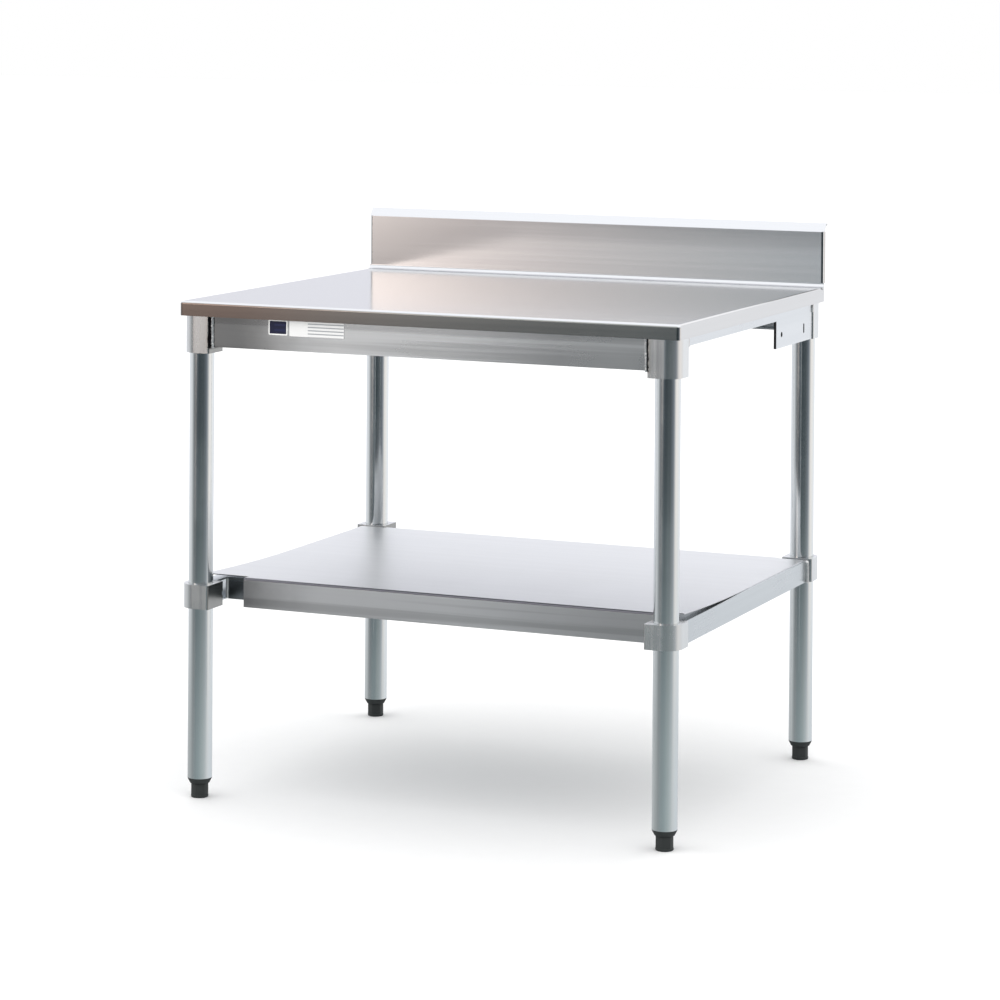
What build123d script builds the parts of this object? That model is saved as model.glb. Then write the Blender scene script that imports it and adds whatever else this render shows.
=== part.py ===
from build123d import *
import os
from math import atan2, degrees, hypot, sqrt

# Stainless work table with an upstand and a height-adjustable undershelf.
# Millimetres. +X is to the right, +Y to the back (the upstand), +Z up.
# The origin is on the floor, under the middle of the table's overall width and depth.

# --- stainless worktop, folded from one sheet -------------------------------------------
TOP_WIDTH = 914.4
TOP_DEPTH = 762.0  # front lip's face to the upstand's back face
WORK_HEIGHT = 857.0
TOP_SHEET = 1.5
LIP_HEIGHT = 25.4
LIP_BEND = 5.0  # outer radius along the front and side edges
LIP_CORNER = 6.0  # outer radius of the two front corners
COVE_RADIUS = 8.0  # between the work surface and the upstand
COVE_LEAD = 1.0  # flat strip in front of the cove
UPSTAND_HEIGHT = 101.6  # work surface to the bend of the sloped return
UPSTAND_BEND = 2.5
RETURN_RUN = 14.0  # the sloped return, backwards
RETURN_RISE = 16.0  # the sloped return, upwards
HEM_LENGTH = 7.0  # last fold, square to the return
HEM_BEND = 2.5
END_RETURN = 8.0  # the upstand's ends, folded backwards

# --- underframe ---------------------------------------------------------------------------
LEG_DIAMETER = 42.2
LEG_WALL = 2.8
LEG_INSET_SIDE = 30.2  # leg axis to the worktop's side face
LEG_INSET_FRONT = 28.0  # leg axis to the front lip's face
LEG_INSET_BACK = 26.0  # leg axis to the upstand's back face
LEG_SEAT_GAP = 0.5  # leg's top end to the socket's roof
SOCKET_WIDTH = 54.0
SOCKET_DEPTH = 52.0
SOCKET_HEIGHT = 87.4
SOCKET_ROOF = 6.0
SOCKET_FIT = 0.15  # radial, leg in socket
SOCKET_TOP_CHAMFER = 3.0  # clears the bend inside the worktop's lips
CORNER_ROUNDING = 3.0  # inner corners of sockets and collars
OUTER_ROUNDING = 0.98  # outer corner's radius as a share of half the depth
MAIN_RAIL_HEIGHT = 76.2
SIDE_RAIL_HEIGHT = 38.1
RAIL_FLANGE = 25.4
RAIL_WALL = 3.2
MAIN_RAIL_RECESS = 8.1  # rail's face behind the socket's face
SIDE_RAIL_RECESS = 2.6
PLATE_LENGTH = 203.2
PLATE_THICKNESS = 4.8
PLATE_DROP = 48.5  # below the side rail
PLATE_HOLE_DIAMETER = 9.5
PLATE_HOLE_INSET = 29.5  # from the plate's free end
PLATE_SLOT_WIDTH = 6.5
PLATE_SLOT_LENGTH = 17.5
PLATE_SLOT_INSET = 155.0
PLATE_HOLE_DEPTH = 25.4  # hole and slot centres below the side rail

# --- worktop's fixings and stiffener -----------------------------------------------------
STUD_DIAMETER = 6.0
STUD_LENGTH = 14.0
STUD_HOLE_CLEARANCE = 0.4  # radial, stud in rail flange
STUD_SPACING = 300.0
NUT_ACROSS_FLATS = 10.0
NUT_HEIGHT = 5.0
STIFFENER_CROWN = 60.0
STIFFENER_DEPTH = 24.0
STIFFENER_FOOT = 22.0
STIFFENER_SHEET = 1.5
STIFFENER_END_GAP = 2.0

# --- levelling feet -----------------------------------------------------------------------
FOOT_HEIGHT = 24.0
FOOT_BASE_DIAMETER = 30.0
FOOT_BASE_HEIGHT = 5.0
FOOT_ACROSS_FLATS = 27.0
FOOT_CORNER_DIAMETER = 29.4
FOOT_CHAMFER = 1.5
FOOT_BORE_FLOOR = 6.0
FOOT_STOP_GAP = 0.3  # foot's shoulder to the insert, screwed right in
STEM_DIAMETER = 12.0
STEM_LENGTH = 68.0
STEM_CHAMFER = 1.2
STEM_FIT = 0.08  # radial running fit of the stem in the insert and in the foot
INSERT_RING_HEIGHT = 10.0
INSERT_RING_END_DIAMETER = 34.0
INSERT_PLUG_LENGTH = 40.0
INSERT_FIT = 0.1  # radial, plug in leg
INSERT_LEAD = 1.5

# --- undershelf ----------------------------------------------------------------------------
COLLAR_SIZE = 57.2
COLLAR_HEIGHT = 41.3
COLLAR_BOTTOM = 328.7  # above the floor, as the shelf is set
COLLAR_FIT = 0.3  # radial, collar sliding on the leg
SHELF_RAIL_HEIGHT = 38.1
SHELF_RAIL_FLANGE = 25.4
SHELF_RAIL_WALL = 3.2
SHELF_RAIL_RECESS = 9.6  # side rail's face behind the collar's face
CROSS_RAIL_SETBACK = 84.0  # leg axis to the cross rail's outer face
SHELF_SHEET = 1.6
SHELF_SIDE_GAP = 4.0  # sheet's side edge inside the side rail's face
SHELF_LEG_GAP = 3.5  # skirt's face behind the front legs
SHELF_BACK_GAP = 8.0  # sheet's back edge in front of the rear legs
SHELF_FRONT_RISE = 11.0  # the sheet springs up towards the skirt
SHELF_SPRING_START = 25.0  # behind the table's middle, where the rise starts
SKIRT_HEIGHT = 50.8
SKIRT_BEND = 3.0
SKIRT_LEFT_GAP = 85.0  # skirt's end to the sheet's left edge
SKIRT_RIGHT_GAP = 47.0
FRONT_NOTCH_DEPTH = 20.0  # beside the skirt's ends
BACK_NOTCH_GAP = 6.0  # between the sheet and the rear collars
BACK_LIP_HEIGHT = 19.0
SHELF_STIFFENER_SETBACK = 60.0  # behind the table's middle
SHELF_STIFFENER_CROWN = 50.0
SHELF_STIFFENER_DEPTH = 20.0

# --- set screws, welds and labels -------------------------------------------------------
SET_SCREW_DIAMETER = 8.0
SET_SCREW_LENGTH = 12.0
SET_SCREW_FIT = 0.05  # radial, thread stand-in
SET_SCREW_TIP_GAP = 0.3  # tip to the leg
HEX_KEY_ACROSS_FLATS = 4.0
HEX_KEY_DEPTH = 4.5
SOCKET_SCREW_HEIGHT = 32.0  # above the socket's lower end
FRAME_BEAD = 4.0  # fillet weld's leg length
SHELF_BEAD = 4.5
LABEL_THICKNESS = 0.3
SQUARE_LABEL_WIDTH = 36.0
SQUARE_LABEL_HEIGHT = 26.0
LONG_LABEL_WIDTH = 104.0
LONG_LABEL_HEIGHT = 29.0
LABEL_CORNER = 2.0
SQUARE_LABEL_INSET = 110.0  # from the rail's left end to the label's left edge
LABEL_SPACING = 3.0
LABEL_DROP = 37.0  # label centres below the rail's top

# --- places worked out from the sizes above ---------------------------------------------
RETURN_SLOPE = hypot(RETURN_RUN, RETURN_RISE)
HEM_RUN = HEM_LENGTH * RETURN_RISE / RETURN_SLOPE
HEM_DROP = HEM_LENGTH * RETURN_RUN / RETURN_SLOPE
RETURN_REACH = RETURN_RUN + HEM_RUN - TOP_SHEET
LIP_Y = -(TOP_DEPTH + RETURN_REACH) / 2
BACK_Y = LIP_Y + TOP_DEPTH
FACE_Y = BACK_Y - TOP_SHEET
FRAME_TOP = WORK_HEIGHT - TOP_SHEET
LEG_X = TOP_WIDTH / 2 - LEG_INSET_SIDE
FRONT_LEG_Y = LIP_Y + LEG_INSET_FRONT
BACK_LEG_Y = BACK_Y - LEG_INSET_BACK
MIDDLE_Y = (FRONT_LEG_Y + BACK_LEG_Y) / 2
LEG_RADIUS = LEG_DIAMETER / 2
LEG_BOTTOM = FOOT_HEIGHT + FOOT_STOP_GAP + INSERT_RING_HEIGHT
SOCKET_HALF_WIDTH = SOCKET_WIDTH / 2
SOCKET_HALF_DEPTH = SOCKET_DEPTH / 2
SOCKET_BOTTOM = FRAME_TOP - SOCKET_HEIGHT
LEG_TOP = FRAME_TOP - SOCKET_ROOF - LEG_SEAT_GAP
MAIN_RAIL_BOTTOM = FRAME_TOP - MAIN_RAIL_HEIGHT
SIDE_RAIL_BOTTOM = FRAME_TOP - SIDE_RAIL_HEIGHT
MAIN_RAIL_LENGTH = 2 * (LEG_X - SOCKET_HALF_WIDTH)
SIDE_RAIL_LENGTH = BACK_LEG_Y - FRONT_LEG_Y - SOCKET_DEPTH
FRONT_RAIL_Y = FRONT_LEG_Y - SOCKET_HALF_DEPTH + MAIN_RAIL_RECESS
BACK_RAIL_Y = BACK_LEG_Y + SOCKET_HALF_DEPTH - MAIN_RAIL_RECESS
SIDE_RAIL_X = LEG_X + SOCKET_HALF_WIDTH - SIDE_RAIL_RECESS
COLLAR_HALF = COLLAR_SIZE / 2
SHELF_RAIL_X = LEG_X + COLLAR_HALF - SHELF_RAIL_RECESS
SHELF_RAIL_TOP = COLLAR_BOTTOM + SHELF_RAIL_HEIGHT
SHELF_RAIL_LENGTH = BACK_LEG_Y - FRONT_LEG_Y - COLLAR_SIZE
CROSS_RAIL_LENGTH = 2 * (SHELF_RAIL_X - SHELF_RAIL_FLANGE)
SKIRT_Y = FRONT_LEG_Y + LEG_RADIUS + SHELF_LEG_GAP
SHELF_BACK_Y = BACK_LEG_Y - LEG_RADIUS - SHELF_BACK_GAP
SHELF_HALF_WIDTH = SHELF_RAIL_X - SHELF_SIDE_GAP
SPRING_Y = MIDDLE_Y + SHELF_SPRING_START

CORNERS = {
    "front_left": (-1, -1),
    "front_right": (1, -1),
    "rear_left": (-1, 1),
    "rear_right": (1, 1),
}


def leg_axis(corner):
    """Plan position of a corner's leg."""
    side, end = corner
    return side * LEG_X, FRONT_LEG_Y if end < 0 else BACK_LEG_Y


def block(low, high):
    """Box between two opposite corner points."""
    size = [b - a for a, b in zip(low, high)]
    middle = [(a + b) / 2 for a, b in zip(low, high)]
    return Pos(*middle) * Box(*size)


def bent_strip(points, bends, thickness, side):
    """Face in the YZ plane: a folded sheet's section; bends holds one radius per inner corner."""
    line = Polyline(*points).wire()
    for place, radius in zip(points[1:-1], bends):
        corner = line.vertices().sort_by_distance((place[0], place[1], 0))[0]
        line = line.fillet_2d(radius, [corner])
    section = make_face(line.offset_2d(thickness, side=side).edges())
    return Plane.YZ * section


def channel(length, height, flange, wall):
    """Channel along X: web facing -Y at Y 0, flanges towards +Y, standing on Z 0."""
    outside = block((-length / 2, 0, 0), (length / 2, flange, height))
    inside = block(
        (-length / 2, wall, wall), (length / 2, flange, height - wall)
    )
    return outside - inside


def hat_section(length, crown, depth, foot, sheet):
    """Hat-shaped stiffener along X, its two feet's upper faces at Z 0."""
    half = crown / 2
    line = Polyline(
        (-half - foot, -sheet / 2),
        (-half, -sheet / 2),
        (-half, sheet / 2 - depth),
        (half, sheet / 2 - depth),
        (half, -sheet / 2),
        (half + foot, -sheet / 2),
    )
    section = Plane.YZ * trace(line, sheet)
    return extrude(section, amount=length / 2, both=True)


def corner_block(corner, width, depth, bottom, top):
    """Block around a leg, its outer corner rounded about the leg."""
    outer = (corner[0] * width / 2, corner[1] * depth / 2, 0)
    plan = Rectangle(width, depth)
    plan = fillet(plan.vertices().sort_by_distance(outer)[1:], CORNER_ROUNDING)
    plan = fillet(plan.vertices().sort_by_distance(outer)[0], depth / 2 * OUTER_ROUNDING)
    x, y = leg_axis(corner)
    return Pos(x, y, bottom) * extrude(plan, amount=top - bottom)


def radial_frame(corner, height):
    """Location on a leg's axis whose +X points at the table's middle, square to its corner."""
    x, y = leg_axis(corner)
    angle = degrees(atan2(-corner[1], -corner[0]))
    return Pos(x, y, height) * Rot(0, 0, angle)


def set_screw_hole(corner, height, size):
    """Cutter for a clamping screw through the inner corner of a socket or collar."""
    reach = size / sqrt(2)
    cutter = Rot(0, 90, 0) * Cylinder(
        SET_SCREW_DIAMETER / 2 + SET_SCREW_FIT, reach, align=(Align.CENTER, Align.CENTER, Align.MIN)
    )
    return radial_frame(corner, height) * cutter


def set_screw(corner, height):
    """Clamping screw with a hex recess, its tip close to the leg."""
    body = Cylinder(
        SET_SCREW_DIAMETER / 2, SET_SCREW_LENGTH, align=(Align.CENTER, Align.CENTER, Align.MIN)
    )
    key = RegularPolygon(HEX_KEY_ACROSS_FLATS / 2, 6, major_radius=False)
    recess = Pos(0, 0, SET_SCREW_LENGTH - HEX_KEY_DEPTH) * extrude(key, amount=HEX_KEY_DEPTH)
    start = LEG_RADIUS + SET_SCREW_TIP_GAP
    return radial_frame(corner, height) * Pos(start, 0, 0) * Rot(0, 90, 0) * (body - recess)


def weld_bead(place, x_side, y_side, bottom, top, leg):
    """Upright fillet weld filling the corner at place, towards the two given sides."""
    x, y = place
    rod = Pos(x, y, bottom) * Cylinder(
        leg, top - bottom, align=(Align.CENTER, Align.CENTER, Align.MIN)
    )
    return rod & block_span((x, y, bottom), (x + x_side * leg, y + y_side * leg, top))


def block_span(one, other):
    """Box between two corner points given in any order."""
    low = [min(a, b) for a, b in zip(one, other)]
    high = [max(a, b) for a, b in zip(one, other)]
    return block(low, high)


# --- worktop -----------------------------------------------------------------------------
def folded_tray():
    """Work surface with its front and side lips, open at the back."""
    bottom = WORK_HEIGHT - LIP_HEIGHT
    half = TOP_WIDTH / 2
    back = FACE_Y - COVE_RADIUS
    outside = block((-half, LIP_Y, bottom), (half, back, WORK_HEIGHT))
    upright = outside.edges().filter_by(Axis.Z).group_by(Axis.Y)[0]
    outside = fillet(upright, LIP_CORNER)
    rim = outside.faces().sort_by(Axis.Z)[-1].edges().sort_by(Axis.Y)[:-1]
    outside = fillet(rim, LIP_BEND)
    inside = block(
        (TOP_SHEET - half, LIP_Y + TOP_SHEET, bottom),
        (half - TOP_SHEET, back, FRAME_TOP),
    )
    upright = inside.edges().filter_by(Axis.Z).group_by(Axis.Y)[0]
    inside = fillet(upright, LIP_CORNER - TOP_SHEET)
    rim = inside.faces().sort_by(Axis.Z)[-1].edges().sort_by(Axis.Y)[:-1]
    inside = fillet(rim, LIP_BEND - TOP_SHEET)
    return outside - inside


def upstand_strip():
    """Cove, upright face, sloped return and hem as one folded strip."""
    start = FACE_Y - COVE_RADIUS
    face_top = WORK_HEIGHT + UPSTAND_HEIGHT
    ridge = (FACE_Y + RETURN_RUN, face_top + RETURN_RISE)
    points = [
        (start - COVE_LEAD, WORK_HEIGHT),
        (FACE_Y, WORK_HEIGHT),
        (FACE_Y, face_top),
        ridge,
        (ridge[0] + HEM_RUN, ridge[1] - HEM_DROP),
    ]
    section = bent_strip(points, [COVE_RADIUS, UPSTAND_BEND, HEM_BEND], TOP_SHEET, Side.RIGHT)
    return extrude(section, amount=TOP_WIDTH / 2, both=True)


def worktop_end_web(side):
    """Side lip's last stretch, closing the end of the cove."""
    start = FACE_Y - COVE_RADIUS
    bottom = WORK_HEIGHT - LIP_HEIGHT
    knee = COVE_RADIUS * (1 - sqrt(0.5))
    outline = [
        Line((start, WORK_HEIGHT), (start, bottom)),
        Line((start, bottom), (BACK_Y, bottom)),
        Line((BACK_Y, bottom), (BACK_Y, WORK_HEIGHT + COVE_RADIUS)),
        Line((BACK_Y, WORK_HEIGHT + COVE_RADIUS), (FACE_Y, WORK_HEIGHT + COVE_RADIUS)),
        ThreePointArc(
            (FACE_Y, WORK_HEIGHT + COVE_RADIUS),
            (FACE_Y - knee, WORK_HEIGHT + knee),
            (start, WORK_HEIGHT),
        ),
    ]
    web = extrude(Plane.YZ * make_face(outline), amount=TOP_SHEET)
    inner = TOP_WIDTH / 2 - TOP_SHEET
    return Pos(inner if side > 0 else -TOP_WIDTH / 2, 0, 0) * web


def upstand_end(side):
    """Upstand's end, folded backwards above the cove."""
    edge = side * TOP_WIDTH / 2
    low = WORK_HEIGHT + COVE_RADIUS
    high = WORK_HEIGHT + UPSTAND_HEIGHT
    return block_span((edge, FACE_Y, low), (edge - side * TOP_SHEET, FACE_Y + END_RETURN, high))


def upstand_end_bend(side):
    """Cutter that rounds the upright bend between the upstand's face and its end."""
    edge = side * TOP_WIDTH / 2
    centre = edge - side * LIP_CORNER
    low = WORK_HEIGHT + COVE_RADIUS
    high = WORK_HEIGHT + UPSTAND_HEIGHT
    sharp = block_span((edge, FACE_Y, low), (centre, FACE_Y + LIP_CORNER, high))
    round_bar = Pos(centre, FACE_Y + LIP_CORNER, low) * Cylinder(
        LIP_CORNER, high - low, align=(Align.CENTER, Align.CENTER, Align.MIN)
    )
    return sharp - round_bar


def worktop():
    """The whole folded stainless sheet."""
    sheet = folded_tray() + upstand_strip()
    for side in (-1, 1):
        sheet += worktop_end_web(side) + upstand_end(side)
        sheet -= upstand_end_bend(side)
    return sheet


def worktop_stiffener():
    """Hat channel under the work surface, between the side rails."""
    length = 2 * (SIDE_RAIL_X - RAIL_FLANGE - STIFFENER_END_GAP)
    hat = hat_section(length, STIFFENER_CROWN, STIFFENER_DEPTH, STIFFENER_FOOT, STIFFENER_SHEET)
    return Pos(0, MIDDLE_Y, FRAME_TOP) * hat


def stud_places():
    """Plan positions of the studs, three along each main rail's top flange."""
    inward = RAIL_WALL + (RAIL_FLANGE - RAIL_WALL) / 2
    rows = (FRONT_RAIL_Y + inward, BACK_RAIL_Y - inward)
    return [(step * STUD_SPACING, y) for y in rows for step in (-1, 0, 1)]


def worktop_studs():
    """Threaded studs welded under the sheet."""
    stud = Pos(0, 0, FRAME_TOP - STUD_LENGTH) * Cylinder(
        STUD_DIAMETER / 2, STUD_LENGTH, align=(Align.CENTER, Align.CENTER, Align.MIN)
    )
    return Compound([Pos(x, y, 0) * stud for x, y in stud_places()])


def worktop_nuts():
    """Nuts that pull the worktop down on the main rails."""
    top = FRAME_TOP - RAIL_WALL
    hexagon = RegularPolygon(NUT_ACROSS_FLATS / 2, 6, major_radius=False)
    nut = extrude(hexagon - Circle(STUD_DIAMETER / 2 + SET_SCREW_FIT), amount=NUT_HEIGHT)
    return Compound([Pos(x, y, top - NUT_HEIGHT) * nut for x, y in stud_places()])


# --- underframe ---------------------------------------------------------------------------
def stud_holes():
    """Cutter for the studs' holes in the rails."""
    hole = Pos(0, 0, FRAME_TOP - RAIL_WALL / 2) * Cylinder(
        STUD_DIAMETER / 2 + STUD_HOLE_CLEARANCE, 2 * RAIL_WALL
    )
    return [Pos(x, y, 0) * hole for x, y in stud_places()]


def main_rail(end):
    """Front (-1) or rear (1) channel between two sockets."""
    rail = channel(MAIN_RAIL_LENGTH, MAIN_RAIL_HEIGHT, RAIL_FLANGE, RAIL_WALL)
    if end > 0:
        rail = Pos(0, BACK_RAIL_Y, MAIN_RAIL_BOTTOM) * Rot(0, 0, 180) * rail
    else:
        rail = Pos(0, FRONT_RAIL_Y, MAIN_RAIL_BOTTOM) * rail
    return rail - stud_holes()


def side_rail(side):
    """Left (-1) or right (1) channel between two sockets."""
    rail = channel(SIDE_RAIL_LENGTH, SIDE_RAIL_HEIGHT, RAIL_FLANGE, RAIL_WALL)
    return Pos(side * SIDE_RAIL_X, MIDDLE_Y, SIDE_RAIL_BOTTOM) * Rot(0, 0, side * 90) * rail


def plate_blank():
    """Side plate along +Y from its welded end, with its hole and slot; outer face at X 0."""
    plate = block((-PLATE_THICKNESS, -PLATE_LENGTH, -PLATE_DROP), (0, 0, 0))
    hole = Rot(0, 90, 0) * Cylinder(PLATE_HOLE_DIAMETER / 2, 4 * PLATE_THICKNESS)
    slot = Plane.YZ * SlotOverall(PLATE_SLOT_LENGTH, PLATE_SLOT_WIDTH, rotation=90)
    slot = extrude(slot, amount=2 * PLATE_THICKNESS, both=True)
    plate -= Pos(0, PLATE_HOLE_INSET - PLATE_LENGTH, -PLATE_HOLE_DEPTH) * hole
    plate -= Pos(0, PLATE_SLOT_INSET - PLATE_LENGTH, -PLATE_HOLE_DEPTH) * slot
    return plate


def side_plate(side):
    """Mounting plate under a side rail: by the rear socket on the right, the front on the left."""
    if side > 0:
        place = Pos(SIDE_RAIL_X, BACK_LEG_Y - SOCKET_HALF_DEPTH, SIDE_RAIL_BOTTOM)
        return place * plate_blank()
    place = Pos(-SIDE_RAIL_X, FRONT_LEG_Y + SOCKET_HALF_DEPTH, SIDE_RAIL_BOTTOM)
    return place * Rot(0, 0, 180) * plate_blank()


def socket(corner):
    """Corner block that holds a leg's top end and the rails."""
    body = corner_block(corner, SOCKET_WIDTH, SOCKET_DEPTH, SOCKET_BOTTOM, FRAME_TOP)
    body = chamfer(body.faces().sort_by(Axis.Z)[-1].edges(), SOCKET_TOP_CHAMFER)
    x, y = leg_axis(corner)
    depth = SOCKET_HEIGHT - SOCKET_ROOF
    bore = Pos(x, y, SOCKET_BOTTOM) * Cylinder(
        LEG_RADIUS + SOCKET_FIT, depth, align=(Align.CENTER, Align.CENTER, Align.MIN)
    )
    body -= bore
    return body - set_screw_hole(corner, SOCKET_BOTTOM + SOCKET_SCREW_HEIGHT, SOCKET_WIDTH)


def leg(corner):
    """Plain tube from the foot's insert up into the socket."""
    x, y = leg_axis(corner)
    ring = Circle(LEG_RADIUS) - Circle(LEG_RADIUS - LEG_WALL)
    return Pos(x, y, LEG_BOTTOM) * extrude(ring, amount=LEG_TOP - LEG_BOTTOM)


def socket_set_screws():
    """One clamping screw per socket."""
    height = SOCKET_BOTTOM + SOCKET_SCREW_HEIGHT
    return Compound([set_screw(corner, height) for corner in CORNERS.values()])


def frame_weld_beads():
    """Fillet welds between the rails and the sockets."""
    beads = []
    for side, end in CORNERS.values():
        x = side * (LEG_X - SOCKET_HALF_WIDTH)
        y = FRONT_RAIL_Y if end < 0 else BACK_RAIL_Y
        beads.append(weld_bead((x, y), -side, end, MAIN_RAIL_BOTTOM, FRAME_TOP, FRAME_BEAD))
    return Compound(beads)


def label(width, height, left):
    """Blank sticker on the front rail's face, starting at X left."""
    plate = extrude(RectangleRounded(width, height, LABEL_CORNER), amount=LABEL_THICKNESS)
    place = Pos(left + width / 2, FRONT_RAIL_Y, FRAME_TOP - LABEL_DROP)
    return place * Rot(90, 0, 0) * plate


def square_label():
    """Small blank sticker."""
    left = SQUARE_LABEL_INSET - MAIN_RAIL_LENGTH / 2
    return label(SQUARE_LABEL_WIDTH, SQUARE_LABEL_HEIGHT, left)


def long_label():
    """Long blank sticker beside the small one."""
    left = SQUARE_LABEL_INSET - MAIN_RAIL_LENGTH / 2 + SQUARE_LABEL_WIDTH + LABEL_SPACING
    return label(LONG_LABEL_WIDTH, LONG_LABEL_HEIGHT, left)


# --- levelling feet -----------------------------------------------------------------------
def foot_insert(corner):
    """Moulded plug in the leg's end, with a tapered ring below the tube."""
    x, y = leg_axis(corner)
    ring_bottom = LEG_BOTTOM - INSERT_RING_HEIGHT
    plug_radius = LEG_RADIUS - LEG_WALL - INSERT_FIT
    taper = Pos(0, 0, ring_bottom) * Cone(
        INSERT_RING_END_DIAMETER / 2,
        LEG_RADIUS,
        INSERT_RING_HEIGHT,
        align=(Align.CENTER, Align.CENTER, Align.MIN),
    )
    plug = Pos(0, 0, LEG_BOTTOM) * Cylinder(
        plug_radius, INSERT_PLUG_LENGTH, align=(Align.CENTER, Align.CENTER, Align.MIN)
    )
    plug = chamfer(plug.edges().group_by(Axis.Z)[-1], INSERT_LEAD)
    bore = Pos(0, 0, ring_bottom) * Cylinder(
        STEM_DIAMETER / 2 + STEM_FIT,
        INSERT_RING_HEIGHT + INSERT_PLUG_LENGTH,
        align=(Align.CENTER, Align.CENTER, Align.MIN),
    )
    return Pos(x, y, 0) * (taper + plug - bore)


def foot_stem(corner):
    """Threaded stem, standing in the foot and running in the insert."""
    x, y = leg_axis(corner)
    stem = Cylinder(STEM_DIAMETER / 2, STEM_LENGTH, align=(Align.CENTER, Align.CENTER, Align.MIN))
    stem = chamfer(stem.edges().group_by(Axis.Z)[-1], STEM_CHAMFER)
    return Pos(x, y, FOOT_BORE_FLOOR) * stem


def foot(corner):
    """Hexagonal levelling foot on a round base."""
    x, y = leg_axis(corner)
    base = Cylinder(
        FOOT_BASE_DIAMETER / 2, FOOT_BASE_HEIGHT, align=(Align.CENTER, Align.CENTER, Align.MIN)
    )
    base = chamfer(base.edges().group_by(Axis.Z)[0], FOOT_CHAMFER)
    hexagon = RegularPolygon(FOOT_ACROSS_FLATS / 2, 6, major_radius=False)
    hexagon = hexagon & Circle(FOOT_CORNER_DIAMETER / 2)
    grip = Pos(0, 0, FOOT_BASE_HEIGHT) * extrude(hexagon, amount=FOOT_HEIGHT - FOOT_BASE_HEIGHT)
    bore = Pos(0, 0, FOOT_BORE_FLOOR) * Cylinder(
        STEM_DIAMETER / 2 + STEM_FIT, FOOT_HEIGHT, align=(Align.CENTER, Align.CENTER, Align.MIN)
    )
    return Pos(x, y, 0) * (base + grip - bore)


# --- undershelf ----------------------------------------------------------------------------
def collar(corner):
    """Block that slides on a leg and carries a shelf rail."""
    top = COLLAR_BOTTOM + COLLAR_HEIGHT
    body = corner_block(corner, COLLAR_SIZE, COLLAR_SIZE, COLLAR_BOTTOM, top)
    x, y = leg_axis(corner)
    bore = Pos(x, y, COLLAR_BOTTOM) * Cylinder(
        LEG_RADIUS + COLLAR_FIT, COLLAR_HEIGHT, align=(Align.CENTER, Align.CENTER, Align.MIN)
    )
    body -= bore
    return body - set_screw_hole(corner, COLLAR_BOTTOM + COLLAR_HEIGHT / 2, COLLAR_SIZE)


def collar_set_screws():
    """One clamping screw per collar."""
    height = COLLAR_BOTTOM + COLLAR_HEIGHT / 2
    return Compound([set_screw(corner, height) for corner in CORNERS.values()])


def shelf_side_rail(side):
    """Left (-1) or right (1) channel between two collars."""
    rail = channel(SHELF_RAIL_LENGTH, SHELF_RAIL_HEIGHT, SHELF_RAIL_FLANGE, SHELF_RAIL_WALL)
    return Pos(side * SHELF_RAIL_X, MIDDLE_Y, COLLAR_BOTTOM) * Rot(0, 0, side * 90) * rail


def cross_rail(end):
    """Front (-1) or rear (1) channel between the side rails."""
    rail = channel(CROSS_RAIL_LENGTH, SHELF_RAIL_HEIGHT, SHELF_RAIL_FLANGE, SHELF_RAIL_WALL)
    if end > 0:
        place = Pos(0, BACK_LEG_Y - CROSS_RAIL_SETBACK, COLLAR_BOTTOM)
        return place * Rot(0, 0, 180) * rail
    return Pos(0, FRONT_LEG_Y + CROSS_RAIL_SETBACK, COLLAR_BOTTOM) * rail


def shelf_section():
    """Shelf sheet's section: back lip, flat half, rising half and front skirt."""
    under = SHELF_RAIL_TOP
    inner_y = SKIRT_Y + SHELF_SHEET
    rise = SHELF_FRONT_RISE
    tilt = 2 * rise / (SPRING_Y - inner_y)
    front = (inner_y + SKIRT_BEND, under + rise - tilt * SKIRT_BEND)
    middle = ((inner_y + SPRING_Y) / 2, under + rise / 4)
    knee = SKIRT_BEND * (1 - sqrt(0.5))
    skirt_foot = under + rise + SHELF_SHEET - SKIRT_HEIGHT
    line = Wire(
        [
            Line((SHELF_BACK_Y, under), (SPRING_Y, under)).edge(),
            ThreePointArc((SPRING_Y, under), middle, front).edge(),
            ThreePointArc(
                front, (inner_y + knee, front[1] - knee), (inner_y, front[1] - SKIRT_BEND)
            ).edge(),
            Line((inner_y, front[1] - SKIRT_BEND), (inner_y, skirt_foot)).edge(),
        ]
    )
    return make_face(line.offset_2d(SHELF_SHEET, side=Side.RIGHT).edges())


def shelf_sheet():
    """Loose shelf sheet with its skirt, back lip and cut-away corners."""
    half = SHELF_HALF_WIDTH
    sheet = extrude(Plane.YZ * shelf_section(), amount=half, both=True)
    low = COLLAR_BOTTOM - SKIRT_HEIGHT
    high = SHELF_RAIL_TOP + SKIRT_HEIGHT
    notch = SKIRT_Y + FRONT_NOTCH_DEPTH
    front = SKIRT_Y - SKIRT_HEIGHT
    sheet -= block((-half, front, low), (SKIRT_LEFT_GAP - half, notch, high))
    sheet -= block((half - SKIRT_RIGHT_GAP, front, low), (half, notch, high))
    corner_y = BACK_LEG_Y - COLLAR_HALF - BACK_NOTCH_GAP
    corner_x = LEG_X - COLLAR_HALF - BACK_NOTCH_GAP
    for side in (-1, 1):
        sheet -= block_span((side * half, corner_y, low), (side * corner_x, BACK_LEG_Y, high))
    lip_half = SHELF_RAIL_X - SHELF_RAIL_FLANGE - BACK_NOTCH_GAP
    lip_half = min(lip_half, corner_x)
    back_lip = block(
        (-lip_half, SHELF_BACK_Y - SHELF_SHEET, SHELF_RAIL_TOP - BACK_LIP_HEIGHT),
        (lip_half, SHELF_BACK_Y, SHELF_RAIL_TOP),
    )
    return sheet + back_lip


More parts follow.
